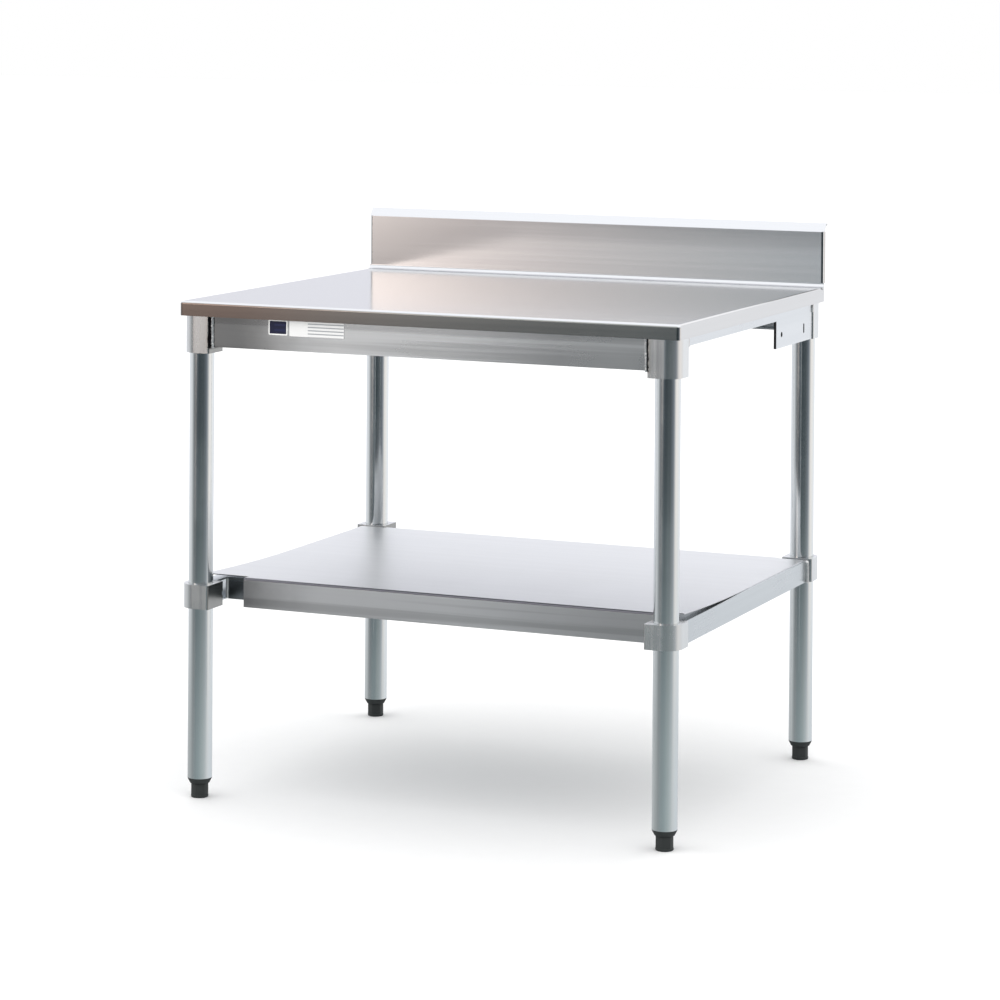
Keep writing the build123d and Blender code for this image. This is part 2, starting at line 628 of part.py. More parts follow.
def shelf_stiffener():
    """Hat channel under the sheet's flat half."""
    length = CROSS_RAIL_LENGTH - 2 * STIFFENER_END_GAP
    hat = hat_section(
        length, SHELF_STIFFENER_CROWN, SHELF_STIFFENER_DEPTH, STIFFENER_FOOT, SHELF_SHEET
    )
    return Pos(0, MIDDLE_Y + SHELF_STIFFENER_SETBACK, SHELF_RAIL_TOP) * hat


def shelf_weld_beads():
    """Fillet welds between the shelf's side rails and the collars."""
    beads = []
    for corner in CORNERS.values():
        side, end = corner
        y = leg_axis(corner)[1] - end * COLLAR_HALF
        place = (side * SHELF_RAIL_X, y)
        beads.append(weld_bead(place, side, -end, COLLAR_BOTTOM, SHELF_RAIL_TOP, SHELF_BEAD))
    return Compound(beads)


def build():
    """All nodes by name."""
    nodes = {
        "worktop": worktop(),
        "worktop_stiffener": worktop_stiffener(),
        "worktop_studs": worktop_studs(),
        "worktop_nuts": worktop_nuts(),
        "front_rail": main_rail(-1),
        "rear_rail": main_rail(1),
        "left_side_rail": side_rail(-1),
        "right_side_rail": side_rail(1),
        "left_side_plate": side_plate(-1),
        "right_side_plate": side_plate(1),
        "socket_set_screws": socket_set_screws(),
        "frame_weld_beads": frame_weld_beads(),
        "square_label": square_label(),
        "long_label": long_label(),
        "shelf_sheet": shelf_sheet(),
        "shelf_stiffener": shelf_stiffener(),
        "left_shelf_rail": shelf_side_rail(-1),
        "right_shelf_rail": shelf_side_rail(1),
        "front_cross_rail": cross_rail(-1),
        "rear_cross_rail": cross_rail(1),
        "collar_set_screws": collar_set_screws(),
        "shelf_weld_beads": shelf_weld_beads(),
    }
    makers = {
        "socket": socket,
        "leg": leg,
        "foot_insert": foot_insert,
        "foot_stem": foot_stem,
        "foot": foot,
        "collar": collar,
    }
    for kind, make in makers.items():
        for name, corner in CORNERS.items():
            nodes[f"{kind}_{name}"] = make(corner)
    return nodes


os.makedirs("parts", exist_ok=True)
for name, shape in build().items():
    export_step(shape, f"parts/{name}.step")
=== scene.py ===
"""Stainless work table: finishes, small parts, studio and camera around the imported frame."""

import logging
import math
import random
from dataclasses import dataclass, replace
from enum import Enum
from typing import Any, Iterable, Optional, Sequence

import bmesh
import bpy
from mathutils import Matrix, Vector


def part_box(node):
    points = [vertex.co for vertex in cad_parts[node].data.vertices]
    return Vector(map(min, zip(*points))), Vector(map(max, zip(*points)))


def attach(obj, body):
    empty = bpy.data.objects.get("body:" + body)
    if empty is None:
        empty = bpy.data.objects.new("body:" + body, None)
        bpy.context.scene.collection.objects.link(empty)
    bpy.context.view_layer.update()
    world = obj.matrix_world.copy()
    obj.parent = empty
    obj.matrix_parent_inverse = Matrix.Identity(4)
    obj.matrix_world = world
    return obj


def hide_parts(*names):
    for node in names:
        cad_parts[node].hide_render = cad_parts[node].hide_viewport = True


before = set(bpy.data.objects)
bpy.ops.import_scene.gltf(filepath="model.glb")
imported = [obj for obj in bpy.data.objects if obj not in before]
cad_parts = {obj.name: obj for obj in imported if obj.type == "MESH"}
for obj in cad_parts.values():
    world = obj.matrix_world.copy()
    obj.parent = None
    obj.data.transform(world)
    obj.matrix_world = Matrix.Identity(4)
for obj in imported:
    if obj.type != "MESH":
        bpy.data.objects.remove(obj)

Colour = tuple[float, float, float]
Socket = bpy.types.NodeSocket

log = logging.getLogger("work_table")

MM = 0.001
CORNERS = ("front_left", "front_right", "rear_left", "rear_right")
WELD_ANGLE = 70.0  # degrees; weld pools stay smooth below it


# --- node trees ---------------------------------------------------------------------------
class NodeSheet:
    """Adds nodes to one tree and wires them up."""

    def __init__(self, tree: bpy.types.NodeTree) -> None:
        """Keeps the tree.

        Args:
            tree: The node tree that every new node goes into.
        """
        self.tree = tree

    def add(self, kind: str, inputs: Optional[dict[Any, Any]] = None, **settings: Any) -> Any:
        """Adds a node, sets it up and fills its inputs.

        Args:
            kind: Blender's name for the node type.
            inputs: Input name or number to a value, or to a socket that feeds it.
            **settings: Properties of the node itself.

        Returns:
            The new node.
        """
        node = self.tree.nodes.new(kind)
        for key, value in settings.items():
            setattr(node, key, value)
        for key, value in (inputs or {}).items():
            if isinstance(value, bpy.types.NodeSocket):
                self.tree.links.new(value, node.inputs[key])
            else:
                node.inputs[key].default_value = value
        return node

    def math(self, operation: str, *values: Any, clamp: bool = False) -> Socket:
        """Returns the output of a Math node working on the given values or sockets."""
        inputs = dict(enumerate(values))
        return self.add("ShaderNodeMath", inputs, operation=operation, use_clamp=clamp).outputs[0]

    def vector(self, operation: str, *values: Any) -> Any:
        """Returns a Vector Math node working on the given vectors or sockets."""
        return self.add("ShaderNodeVectorMath", dict(enumerate(values)), operation=operation)

    def times(self, one: Any, two: Any) -> Socket:
        """Returns the product of two numbers."""
        return self.math("MULTIPLY", one, two)

    def scale(self, vector: Socket, factor: Socket) -> Socket:
        """Returns a vector or a colour times a number."""
        scaled = self.vector("SCALE", vector)
        self.tree.links.new(factor, scaled.inputs["Scale"])
        return scaled.outputs[0]

    def split(self, vector: Socket) -> Any:
        """Returns a vector's X, Y and Z outputs."""
        return self.add("ShaderNodeSeparateXYZ", {0: vector}).outputs

    def facing(self) -> Any:
        """Returns the X, Y and Z of the way that the surface looks."""
        return self.split(self.add("ShaderNodeNewGeometry").outputs["Normal"])

    def step(self, value: Any, low: float, high: float, start: float = 0.0, end: float = 1.0) -> Socket:
        """Maps value smoothly to start at low and end at high, and holds it beyond them.

        Args:
            value: Socket or number to map.
            low: Value that gives start.
            high: Value that gives end.
            start: Result at and before low.
            end: Result at and after high.

        Returns:
            The mapped value's socket.
        """
        inputs = {"Value": value, "From Min": low, "From Max": high, "To Min": start, "To Max": end}
        node = self.add("ShaderNodeMapRange", inputs, interpolation_type="SMOOTHSTEP")
        return node.outputs["Result"]

    def blend(self, factor: Any, one: Any, two: Any) -> Socket:
        """Returns a colour that goes from one to two as factor goes from 0 to 1."""
        node = self.add("ShaderNodeMix", data_type="RGBA")
        for number, value in ((0, factor), (6, one), (7, two)):
            if isinstance(value, bpy.types.NodeSocket):
                self.tree.links.new(value, node.inputs[number])
            else:
                node.inputs[number].default_value = value
        return node.outputs[2]

    def blend_vector(self, factor: Any, one: Any, two: Any) -> Socket:
        """Returns a vector that goes from one to two as factor goes from 0 to 1."""
        node = self.add("ShaderNodeMix", {0: factor, 4: one, 5: two}, data_type="VECTOR")
        return node.outputs[1]

    def ramp(self, value: Socket, stops: Sequence[tuple[float, Colour]]) -> Socket:
        """Returns the colour that value picks from stops of (place, colour)."""
        node = self.add("ShaderNodeValToRGB", {0: value})
        elements = node.color_ramp.elements
        while len(elements) < len(stops):
            elements.new(0.5)
        for element, (place, colour) in zip(elements, stops):
            element.position = place
            element.color = (*colour, 1.0)
        return node.outputs["Color"]

    def noise(self, vector: Socket, scale: float, detail: float = 3.0, rough: float = 0.5) -> Socket:
        """Returns a noise value from 0 to 1.

        Args:
            vector: Coordinates to read.
            scale: Waves per unit of the coordinates.
            detail: Octaves of finer noise.
            rough: Strength of the finer octaves.

        Returns:
            The noise's factor socket.
        """
        inputs = {"Vector": vector, "Scale": scale, "Detail": detail, "Roughness": rough}
        return self.add("ShaderNodeTexNoise", inputs).outputs["Fac"]


PLACE_INPUT = ("Vector", "NodeSocketVector", (0.0, 0.0, 0.0))


class NodeGroup:
    """A named shader node group that is built once and placed in many materials."""

    title = "group"
    takes: Sequence[tuple[str, str, Any]] = ()
    gives: Sequence[tuple[str, str]] = ()

    @classmethod
    def tree(cls) -> bpy.types.NodeTree:
        """Returns the group's tree, made on first use."""
        found = bpy.data.node_groups.get(cls.title)
        if found:
            return found
        tree = bpy.data.node_groups.new(cls.title, "ShaderNodeTree")
        for name, kind, value in cls.takes:
            socket = tree.interface.new_socket(name, in_out="INPUT", socket_type=kind)
            socket.default_value = value
        for name, kind in cls.gives:
            tree.interface.new_socket(name, in_out="OUTPUT", socket_type=kind)
        sheet = NodeSheet(tree)
        given = sheet.add("NodeGroupInput").outputs
        results = cls.build(sheet, given)
        sheet.add("NodeGroupOutput", results)
        return tree

    @classmethod
    def build(cls, sheet: NodeSheet, given: Any) -> dict[str, Socket]:
        """Fills the tree.

        Args:
            sheet: The sheet to add nodes with.
            given: The group's inputs, as the outputs of its input node.

        Returns:
            Output name to the socket that feeds it.
        """
        raise NotImplementedError

    @classmethod
    def place(cls, sheet: NodeSheet, inputs: dict[str, Any]) -> Any:
        """Places the group in a material and returns its outputs."""
        return sheet.add("ShaderNodeGroup", inputs, node_tree=cls.tree()).outputs


class BrushedGrain(NodeGroup):
    """Fine parallel lines of brushing, rolling or drawing, with broader streaks between them."""

    title = "brushed_grain"
    takes = (
        PLACE_INPUT,
        ("Stretch", "NodeSocketVector", (3.0, 700.0, 700.0)),
        ("Side Stretch", "NodeSocketVector", (3.0, 700.0, 700.0)),
    )
    gives = (("Lines", "NodeSocketFloat"), ("Streaks", "NodeSocketFloat"))

    @classmethod
    def build(cls, sheet: NodeSheet, given: Any) -> dict[str, Socket]:
        """See NodeGroup.build; Side Stretch holds on faces that look along X."""
        sideways = sheet.step(sheet.math("ABSOLUTE", sheet.facing()["X"]), 0.62, 0.78)
        stretch = sheet.blend_vector(sideways, given["Stretch"], given["Side Stretch"])
        long = sheet.vector("MULTIPLY", given["Vector"], stretch).outputs[0]
        lines = sheet.noise(long, 1.0, 4.0, 0.65)
        wide = sheet.vector("MULTIPLY", long, (0.35, 0.11, 0.11)).outputs[0]
        streaks = sheet.noise(wide, 1.0, 3.0, 0.55)
        return {"Lines": lines, "Streaks": sheet.step(streaks, 0.3, 0.7)}


class HandlingMarks(NodeGroup):
    """Cloudy wiping marks and hairline scratches left by handling."""

    title = "handling_marks"
    takes = (PLACE_INPUT, ("Size", "NodeSocketFloat", 9.0))
    gives = (("Smears", "NodeSocketFloat"), ("Scratches", "NodeSocketFloat"))

    @classmethod
    def build(cls, sheet: NodeSheet, given: Any) -> dict[str, Socket]:
        """See NodeGroup.build; Size is the number of marks per metre."""
        vector = sheet.scale(given["Vector"], given["Size"])
        cloud = sheet.noise(vector, 1.0, 6.0, 0.6)
        smears = sheet.step(cloud, 0.42, 0.68)
        bent = sheet.vector("ADD", vector, sheet.vector("SCALE", vector).outputs[0])
        turned = sheet.add(
            "ShaderNodeMapping",
            {"Vector": bent.outputs[0], "Rotation": (0.4, 0.2, 0.7), "Scale": (1.0, 26.0, 9.0)},
        ).outputs[0]
        hair = sheet.math("SUBTRACT", sheet.noise(turned, 1.6, 2.0), 0.5)
        scratches = sheet.step(sheet.math("ABSOLUTE", hair), 0.0, 0.006, 1.0, 0.0)
        sparse = sheet.step(sheet.noise(vector, 1.7, 1.0), 0.55, 0.62)
        return {"Smears": smears, "Scratches": sheet.times(scratches, sparse)}


class WeldSoot(NodeGroup):
    """Dark soot and heat tint that a weld leaves on the metal next to it."""

    title = "weld_soot"
    takes = (
        PLACE_INPUT,
        ("Seam", "NodeSocketFloat", 0.4),
        ("Reach", "NodeSocketFloat", 0.004),
        ("Foot", "NodeSocketFloat", 0.0),
    )
    gives = (("Soot", "NodeSocketFloat"), ("Tint", "NodeSocketFloat"))

    @classmethod
    def build(cls, sheet: NodeSheet, given: Any) -> dict[str, Socket]:
        """See NodeGroup.build; Seam is the weld's distance from the middle, Foot its lower end."""
        parts = sheet.split(given["Vector"])
        wobble = sheet.noise(given["Vector"], 160.0, 3.0)
        shift = sheet.times(sheet.math("SUBTRACT", wobble, 0.5), 0.006)
        away = sheet.math("SUBTRACT", sheet.math("ABSOLUTE", parts["X"]), given["Seam"])
        away = sheet.math("ABSOLUTE", sheet.math("ADD", away, shift))
        share = sheet.math("DIVIDE", away, given["Reach"])
        above = sheet.step(sheet.math("SUBTRACT", parts["Z"], given["Foot"]), -0.006, 0.0)
        soot = sheet.times(sheet.step(share, 0.55, 1.0, 1.0, 0.0), above)
        tint = sheet.times(sheet.step(share, 0.8, 3.2, 1.0, 0.0), above)
        return {"Soot": soot, "Tint": tint}


class PaintedReflectionBands(NodeGroup):
    """Painted reflection: dark and bright stretches along a rail, by place along X with a slight wobble."""

    title = "oxide_clouds"
    takes = (PLACE_INPUT, ("Length", "NodeSocketFloat", 0.9))
    gives = (("Gain", "NodeSocketFloat"),)

    @classmethod
    def build(cls, sheet: NodeSheet, given: Any) -> dict[str, Socket]:
        """See NodeGroup.build; Gain scales the metal's tone along X, as painted reflection."""
        across = sheet.split(given["Vector"])["X"]
        drift = sheet.math("SUBTRACT", sheet.noise(given["Vector"], 9.0, 4.0, 0.6), 0.5)
        place = sheet.math("DIVIDE", across, given["Length"])
        place = sheet.math("ADD", place, sheet.times(drift, 0.10))
        gain = sheet.step(place, -0.40, -0.17, 0.36, 1.22)
        return {"Gain": sheet.times(gain, sheet.step(place, 0.02, 0.30, 1.0, 0.70))}


class FacingMasks(NodeGroup):
    """Marks faces by the way they look, so that folds, cut edges, the lip and inward faces can take painted
    shade and painted highlight.
    """

    title = "facing_masks"
    takes = (PLACE_INPUT, ("Brim", "NodeSocketFloat", 0.8545))
    gives = tuple(
        (name, "NodeSocketFloat") for name in ("Cut", "Fold", "Front", "Lip", "Lip End", "Inside")
    )

    @classmethod
    def build(cls, sheet: NodeSheet, given: Any) -> dict[str, Socket]:
        """See NodeGroup.build; Lip is a front face below the height Brim, Inside looks inwards."""
        looks = sheet.facing()
        place = sheet.split(given["Vector"])
        below = sheet.math("LESS_THAN", place["Z"], given["Brim"])
        front = sheet.step(looks["Y"], -0.80, -0.97)
        lip = sheet.times(front, below)
        rising = sheet.step(looks["Z"], 0.05, 0.2)
        rising = sheet.times(rising, sheet.step(looks["Y"], -0.04, -0.12))
        outward = sheet.times(looks["X"], sheet.math("SIGN", place["X"]))
        return {
            "Cut": sheet.step(sheet.math("ABSOLUTE", looks["X"]), 0.75, 0.5),
            "Fold": rising,
            "Front": front,
            "Lip": lip,
            "Lip End": sheet.times(lip, sheet.step(place["X"], 0.10, -0.42)),
            "Inside": sheet.step(outward, -0.3, -0.7),
        }


class SettledDust(NodeGroup):
    """Thin dust on surfaces that face up."""

    title = "settled_dust"
    takes = (PLACE_INPUT, ("Amount", "NodeSocketFloat", 0.2))
    gives = (("Dust", "NodeSocketFloat"),)

    @classmethod
    def build(cls, sheet: NodeSheet, given: Any) -> dict[str, Socket]:
        """See NodeGroup.build; Amount is the share of the metal that dust hides."""
        facing = sheet.step(sheet.facing()["Z"], 0.5, 0.95)
        speckle = sheet.step(sheet.noise(given["Vector"], 420.0, 4.0, 0.7), 0.45, 0.75)
        patch = sheet.step(sheet.noise(given["Vector"], 7.0, 4.0, 0.6), 0.35, 0.7, 0.3, 1.0)
        dust = sheet.times(sheet.times(facing, speckle), patch)
        return {"Dust": sheet.times(dust, given["Amount"])}


# --- finishes -----------------------------------------------------------------------------
class Run(Enum):
    """Direction in which a metal's brushing, rolling or drawing lines run."""

    WIDTH = (1, 0, 0)
    DEPTH = (0, 1, 0)
    HEIGHT = (0, 0, 1)

    def stretch(self, along: float, across: float) -> Colour:
        """Returns noise waves per metre for X, Y and Z.

        Args:
            along: Waves per metre along the lines.
            across: Waves per metre across them.

        Returns:
            One number for each axis.
        """
        return tuple(along if on else across for on in self.value)


@dataclass(frozen=True)
class Weld:
    """Where a weld crosses a metal part, for its soot."""

    seam: float
    reach: float
    foot: float


@dataclass(frozen=True)
class MetalFinish:
    """A bare metal: its tones, its gloss, the depth and scale of its lines, and painted light and shade on
    chosen faces.
    """

    name: str
    dark: Colour
    light: Colour
    rough_low: float
    rough_high: float
    along: float = 3.0
    across: float = 700.0
    depth: float = 0.02
    smears: float = 0.3
    dust: float = 0.0
    # Painted reflection: length and tone of the dark and bright stretches along front faces.
    painted_band_length: float = 0.0
    painted_band_tone: float = 1.0
    # Painted shade and painted highlight: pairs of a facing mask and the tone laid on its faces.
    painted_light: tuple[tuple[str, Colour], ...] = ()
    bare: bool = True

    def material(
        self, run: Run = Run.WIDTH, side_run: Optional[Run] = None, weld: Optional[Weld] = None
    ) -> bpy.types.Material:
        """Makes the metal's material for one direction of its lines.

        Args:
            run: Direction of the lines.
            side_run: Direction on faces that look along X, where it differs.
            weld: A weld whose soot shows on the part.

        Returns:
            The material, made on first use.
        """
        side = side_run or run
        welded = f"_{round(weld.seam / MM)}" if weld else ""
        title = f"{self.name}_{run.name}_{side.name}{welded}".lower()
        found = bpy.data.materials.get(title)
        if found:
            return found
        material, sheet, surface = start_material(title)
        place = object_place(sheet)
        grain = BrushedGrain.place(
            sheet,
            {
                "Vector": place,
                "Stretch": run.stretch(self.along, self.across),
                "Side Stretch": side.stretch(self.along, self.across),
            },
        )
        marks = HandlingMarks.place(sheet, {"Vector": place, "Size": 6.0})
        tone = sheet.times(grain["Lines"], 0.5)
        tone = sheet.math("ADD", tone, sheet.times(grain["Streaks"], 0.5))
        colour = sheet.blend(tone, (*self.dark, 1.0), (*self.light, 1.0))
        facing = FacingMasks.place(sheet, {"Vector": place})
        # Painted reflection: front faces take dark and bright stretches along X, times the drawn streaks of
        # the grain.
        if self.painted_band_length:
            painted_bands_and_grain = PaintedReflectionBands.place(sheet, {"Vector": place, "Length": self.painted_band_length})
            weakest, strongest = 0.86 * self.painted_band_tone, 1.10 * self.painted_band_tone
            drawn = sheet.step(grain["Streaks"], 0.25, 0.75, weakest, strongest)
            painted_bands_and_grain = sheet.times(painted_bands_and_grain["Gain"], drawn)
            painted_bands_and_grain = sheet.math("SUBTRACT", painted_bands_and_grain, 1.0)
            painted_bands_and_grain = sheet.math("MULTIPLY_ADD", painted_bands_and_grain, facing["Front"], 1.0)
            colour = sheet.scale(colour, painted_bands_and_grain)
        # Painted shade and painted highlight: each mask's faces take a set tone.
        for mask, painted_tone in self.painted_light:
            colour = sheet.blend(facing[mask], colour, (*painted_tone, 1.0))
        smear = sheet.times(marks["Smears"], self.smears)
        gloss = sheet.math("ADD", sheet.times(tone, 1.0 - self.smears), smear)
        rough = sheet.step(gloss, 0.0, 1.0, self.rough_low, self.rough_high)
        if self.dust:
            dust = SettledDust.place(sheet, {"Vector": place, "Amount": self.dust})["Dust"]
            colour = sheet.blend(dust, colour, (0.62, 0.60, 0.57, 1.0))
            rough = sheet.math("ADD", rough, sheet.times(dust, 0.5), clamp=True)
        if weld:
            inputs = {"Vector": place, "Seam": weld.seam, "Reach": weld.reach, "Foot": weld.foot}
            burnt = WeldSoot.place(sheet, inputs)
            colour = sheet.blend(
                sheet.times(burnt["Tint"], 0.35), colour, (0.42, 0.38, 0.33, 1.0)
            )
            colour = sheet.blend(burnt["Soot"], colour, (0.015, 0.014, 0.016, 1.0))
            rough = sheet.math("MAXIMUM", rough, sheet.times(burnt["Soot"], 0.7))
        height = sheet.math("ADD", grain["Lines"], sheet.times(marks["Scratches"], 0.6))
        if self.bare:
            surface.inputs["Metallic"].default_value = 1.0
        else:
            # Cut faces turn rough and lose their metal, so that their painted shade stays dark.
            rough = sheet.math("MAXIMUM", rough, sheet.times(facing["Cut"], 0.9))
            metal = sheet.math("SUBTRACT", 1.0, facing["Cut"])
            wire(sheet, surface, {"Metallic": metal})
        coat(sheet, surface, colour, rough, height, self.depth, 0.0004)
        return material


class Finish:
    """A finish whose one material is made on first use."""

    name: str

    def material(self) -> bpy.types.Material:
        """Returns the material, made on first use."""
        found = bpy.data.materials.get(self.name)
        if found:
            return found
        material, sheet, surface = start_material(self.name)
        self.paint(sheet, surface, object_place(sheet))
        return material

    def paint(self, sheet: NodeSheet, surface: bpy.types.Node, place: Socket) -> None:
        """Sets up the surface shader.

        Args:
            sheet: The sheet to add nodes with.
            surface: The surface shader.
            place: The Object coordinates.
        """
        raise NotImplementedError


@dataclass(frozen=True)
class RippledWeldMetal(Finish):
    """Fresh weld metal, white and non-metallic as a painted highlight, with painted shade in the low spots
    between its crests.
    """

    name: str = "weld_aluminium"

    def paint(self, sheet: NodeSheet, surface: bpy.types.Node, place: Socket) -> None:
        """See Finish.paint."""
        grit = sheet.noise(place, 900.0, 4.0, 0.7)
        pools = sheet.noise(place, 260.0, 2.0)
        # Painted highlight and painted shade: high pools are near white, low pools dark, the same pools
        # that make the relief.
        colour = sheet.ramp(
            pools, ((0.26, (0.30, 0.28, 0.27)), (0.36, (0.93, 0.93, 0.93)), (0.8, (0.99, 0.99, 0.99)))
        )
        rough = sheet.step(grit, 0.2, 0.8, 0.22, 0.42)
        height = sheet.math("ADD", pools, sheet.times(grit, 0.3))
        coat(sheet, surface, colour, rough, height, 0.5, 0.0006)
        # A non-metal white, so that the painted highlight shows from every side.
        surface.inputs["Metallic"].default_value = 0.0


@dataclass(frozen=True)
class MouldedPlastic(Finish):
    """Black moulded plastic with a fine skin and scuffs low down."""

    name: str = "black_plastic"
    scuff_height: float = 0.014

    def paint(self, sheet: NodeSheet, surface: bpy.types.Node, place: Socket) -> None:
        """See Finish.paint."""
        skin = sheet.noise(place, 1500.0, 3.0, 0.6)
        cloud = sheet.noise(place, 90.0, 4.0, 0.6)
        height = sheet.split(place)["Z"]
        low = sheet.step(height, self.scuff_height, 0.0)
        worn = sheet.times(sheet.step(cloud, 0.45, 0.65), sheet.math("ADD", low, 0.25))
        colour = sheet.blend(worn, (0.008, 0.010, 0.009, 1.0), (0.055, 0.062, 0.052, 1.0))
        rough = sheet.step(sheet.math("ADD", cloud, skin), 0.6, 1.3, 0.32, 0.62)
        coat(sheet, surface, colour, rough, skin, 0.25, 0.0002)
        surface.inputs["Specular IOR Level"].default_value = 0.5


@dataclass(frozen=True)
class BlackOxide(Finish):
    """Blackened steel screw with a trace of oil."""

    name: str = "black_steel"

    def paint(self, sheet: NodeSheet, surface: bpy.types.Node, place: Socket) -> None:
        """See Finish.paint."""
        grain = sheet.noise(place, 1200.0, 4.0, 0.7)
        oil = sheet.noise(place, 300.0, 2.0)
        colour = sheet.blend(oil, (0.018, 0.018, 0.021, 1.0), (0.055, 0.053, 0.052, 1.0))
        rough = sheet.step(grain, 0.25, 0.75, 0.28, 0.5)
        coat(sheet, surface, colour, rough, grain, 0.3, 0.0002)
        surface.inputs["Metallic"].default_value = 0.85


@dataclass(frozen=True)
class BlankSticker:
    """Laminated sticker: a field with a pale border and plain bars in place of any print."""

    name: str
    field: Colour
    border: Colour
    bars: Colour
    margin: float
    bar_pitch: float
    bar_from: float
    bar_share: float

    def material(self, low: Vector, high: Vector) -> bpy.types.Material:
        """Makes the sticker's material for a sticker that lies between two corners.

        Args:
            low: Lowest corner of the sticker.
            high: Highest corner of the sticker.

        Returns:
            The material.
        """
        material, sheet, surface = start_material(self.name)
        place = sheet.split(object_place(sheet))
        half_x, half_z = (high.x - low.x) / 2, (high.z - low.z) / 2
        across = sheet.math("SUBTRACT", place["X"], (low.x + high.x) / 2)
        upwards = sheet.math("SUBTRACT", place["Z"], (low.z + high.z) / 2)
        edge_x = sheet.math("SUBTRACT", half_x, sheet.math("ABSOLUTE", across))
        edge_z = sheet.math("SUBTRACT", half_z, sheet.math("ABSOLUTE", upwards))
        inset = sheet.math("MINIMUM", edge_x, edge_z)
        inside = sheet.step(inset, self.margin - 0.1 * MM, self.margin + 0.1 * MM)
        share = sheet.math("DIVIDE", upwards, self.bar_pitch)
        wave = sheet.math("ABSOLUTE", sheet.math("SUBTRACT", sheet.math("FRACT", share), 0.5))
        bar = sheet.step(wave, self.bar_share, self.bar_share + 0.04, 1.0, 0.0)
        start = low.x + (high.x - low.x) * self.bar_from
        bar = sheet.times(bar, sheet.step(place["X"], start, start + 0.2 * MM))
        bar = sheet.times(bar, sheet.step(inset, self.margin * 1.6, self.margin * 1.7))
        field = sheet.blend(bar, (*self.field, 1.0), (*self.bars, 1.0))
        colour = sheet.blend(inside, (*self.border, 1.0), field)
        fibre = sheet.noise(object_place(sheet), 700.0, 4.0, 0.6)
        colour = sheet.blend(sheet.times(fibre, 0.03), colour, (0.45, 0.45, 0.44, 1.0))
        rough = sheet.step(fibre, 0.3, 0.7, 0.26, 0.4)
        surface.inputs["Specular IOR Level"].default_value = 0.25
        coat(sheet, surface, colour, rough, fibre, 0.1, 0.0001)
        return material


def start_material(title: str) -> tuple[bpy.types.Material, NodeSheet, bpy.types.Node]:
    """Starts a material.

    Args:
        title: The material's name.

    Returns:
        The material, a sheet for its nodes, and its Principled BSDF.
    """
    material = bpy.data.materials.new(title)
    material.use_nodes = True
    sheet = NodeSheet(material.node_tree)
    return material, sheet, material.node_tree.nodes["Principled BSDF"]


def object_place(sheet: NodeSheet) -> Socket:
    """Returns the Object coordinates, in metres."""
    return sheet.add("ShaderNodeTexCoord").outputs["Object"]


def wire(sheet: NodeSheet, surface: bpy.types.Node, feeds: dict[str, Socket]) -> None:
    """Links sockets to the named inputs of a surface shader."""
    for name, socket in feeds.items():
        sheet.tree.links.new(socket, surface.inputs[name])


def coat(
    sheet: NodeSheet, surface: bpy.types.Node, colour: Socket, rough: Socket,
    height: Socket, strength: float, distance: float,
) -> None:
    """Feeds a surface shader its colour, its roughness and its relief.

    Args:
        sheet: The sheet that makes the bump node.
        surface: The surface shader.
        colour: Its colour.
        rough: Its roughness.
        height: Height of the relief, from 0 to 1.
        strength: Strength of the relief.
        distance: Depth of the relief, in metres.
    """
    inputs = {"Strength": strength, "Distance": distance, "Height": height}
    relief = sheet.add("ShaderNodeBump", inputs).outputs[0]
    wire(sheet, surface, {"Base Color": colour, "Roughness": rough, "Normal": relief})


STAINLESS = MetalFinish(
    "stainless_sheet", (0.65, 0.645, 0.645), (0.685, 0.68, 0.68), 0.13, 0.16,
    along=2.5, across=1100.0, depth=0.003, smears=0.25, dust=0.03,
    # Painted light on the worktop: folds take a set bluish tone for how bright they reflect, the lip's
    # front face is painted dark as its reflection, and its left end a brown painted reflection.
    painted_light=(
        ("Fold", (0.64, 0.655, 0.68)), ("Lip", (0.40, 0.42, 0.41)), ("Lip End", (0.29, 0.235, 0.21)),
    ),
)
GALVANISED = MetalFinish(
    "galvanised_sheet", (0.44, 0.46, 0.48), (0.62, 0.64, 0.65), 0.34, 0.52,
    along=14.0, across=60.0, depth=0.08, smears=0.6, dust=0.15,
)
PLATED = MetalFinish(
    "plated_steel", (0.52, 0.52, 0.50), (0.70, 0.70, 0.68), 0.24, 0.38,
    along=200.0, across=500.0, depth=0.03, smears=0.4,
)
RAIL = MetalFinish(
    "rail_aluminium", (0.58, 0.61, 0.63), (0.70, 0.73, 0.75), 0.24, 0.36,
    # Painted reflection along the rail's front faces: dark at the left end, bright left of the middle,
    # dimmer to the right.
    along=2.0, across=330.0, depth=0.03, smears=0.35, dust=0.06, painted_band_length=0.9,
)
SIDE_RAIL = MetalFinish(
    "side_rail_aluminium", (0.66, 0.68, 0.70), (0.76, 0.78, 0.80), 0.22, 0.34,
    along=2.0, across=330.0, depth=0.03, smears=0.35, dust=0.06,
)
SIDE_PLATE = MetalFinish(
    "side_plate_aluminium", (0.68, 0.70, 0.72), (0.78, 0.80, 0.82), 0.22, 0.34,
    along=2.0, across=330.0, depth=0.03, smears=0.35,
    # Painted shade: the cut edges and the walls of the hole and slot are painted near black, and lose their
    # metal (bare=False).
    painted_light=(("Cut", (0.012, 0.012, 0.013)),), bare=False,
)
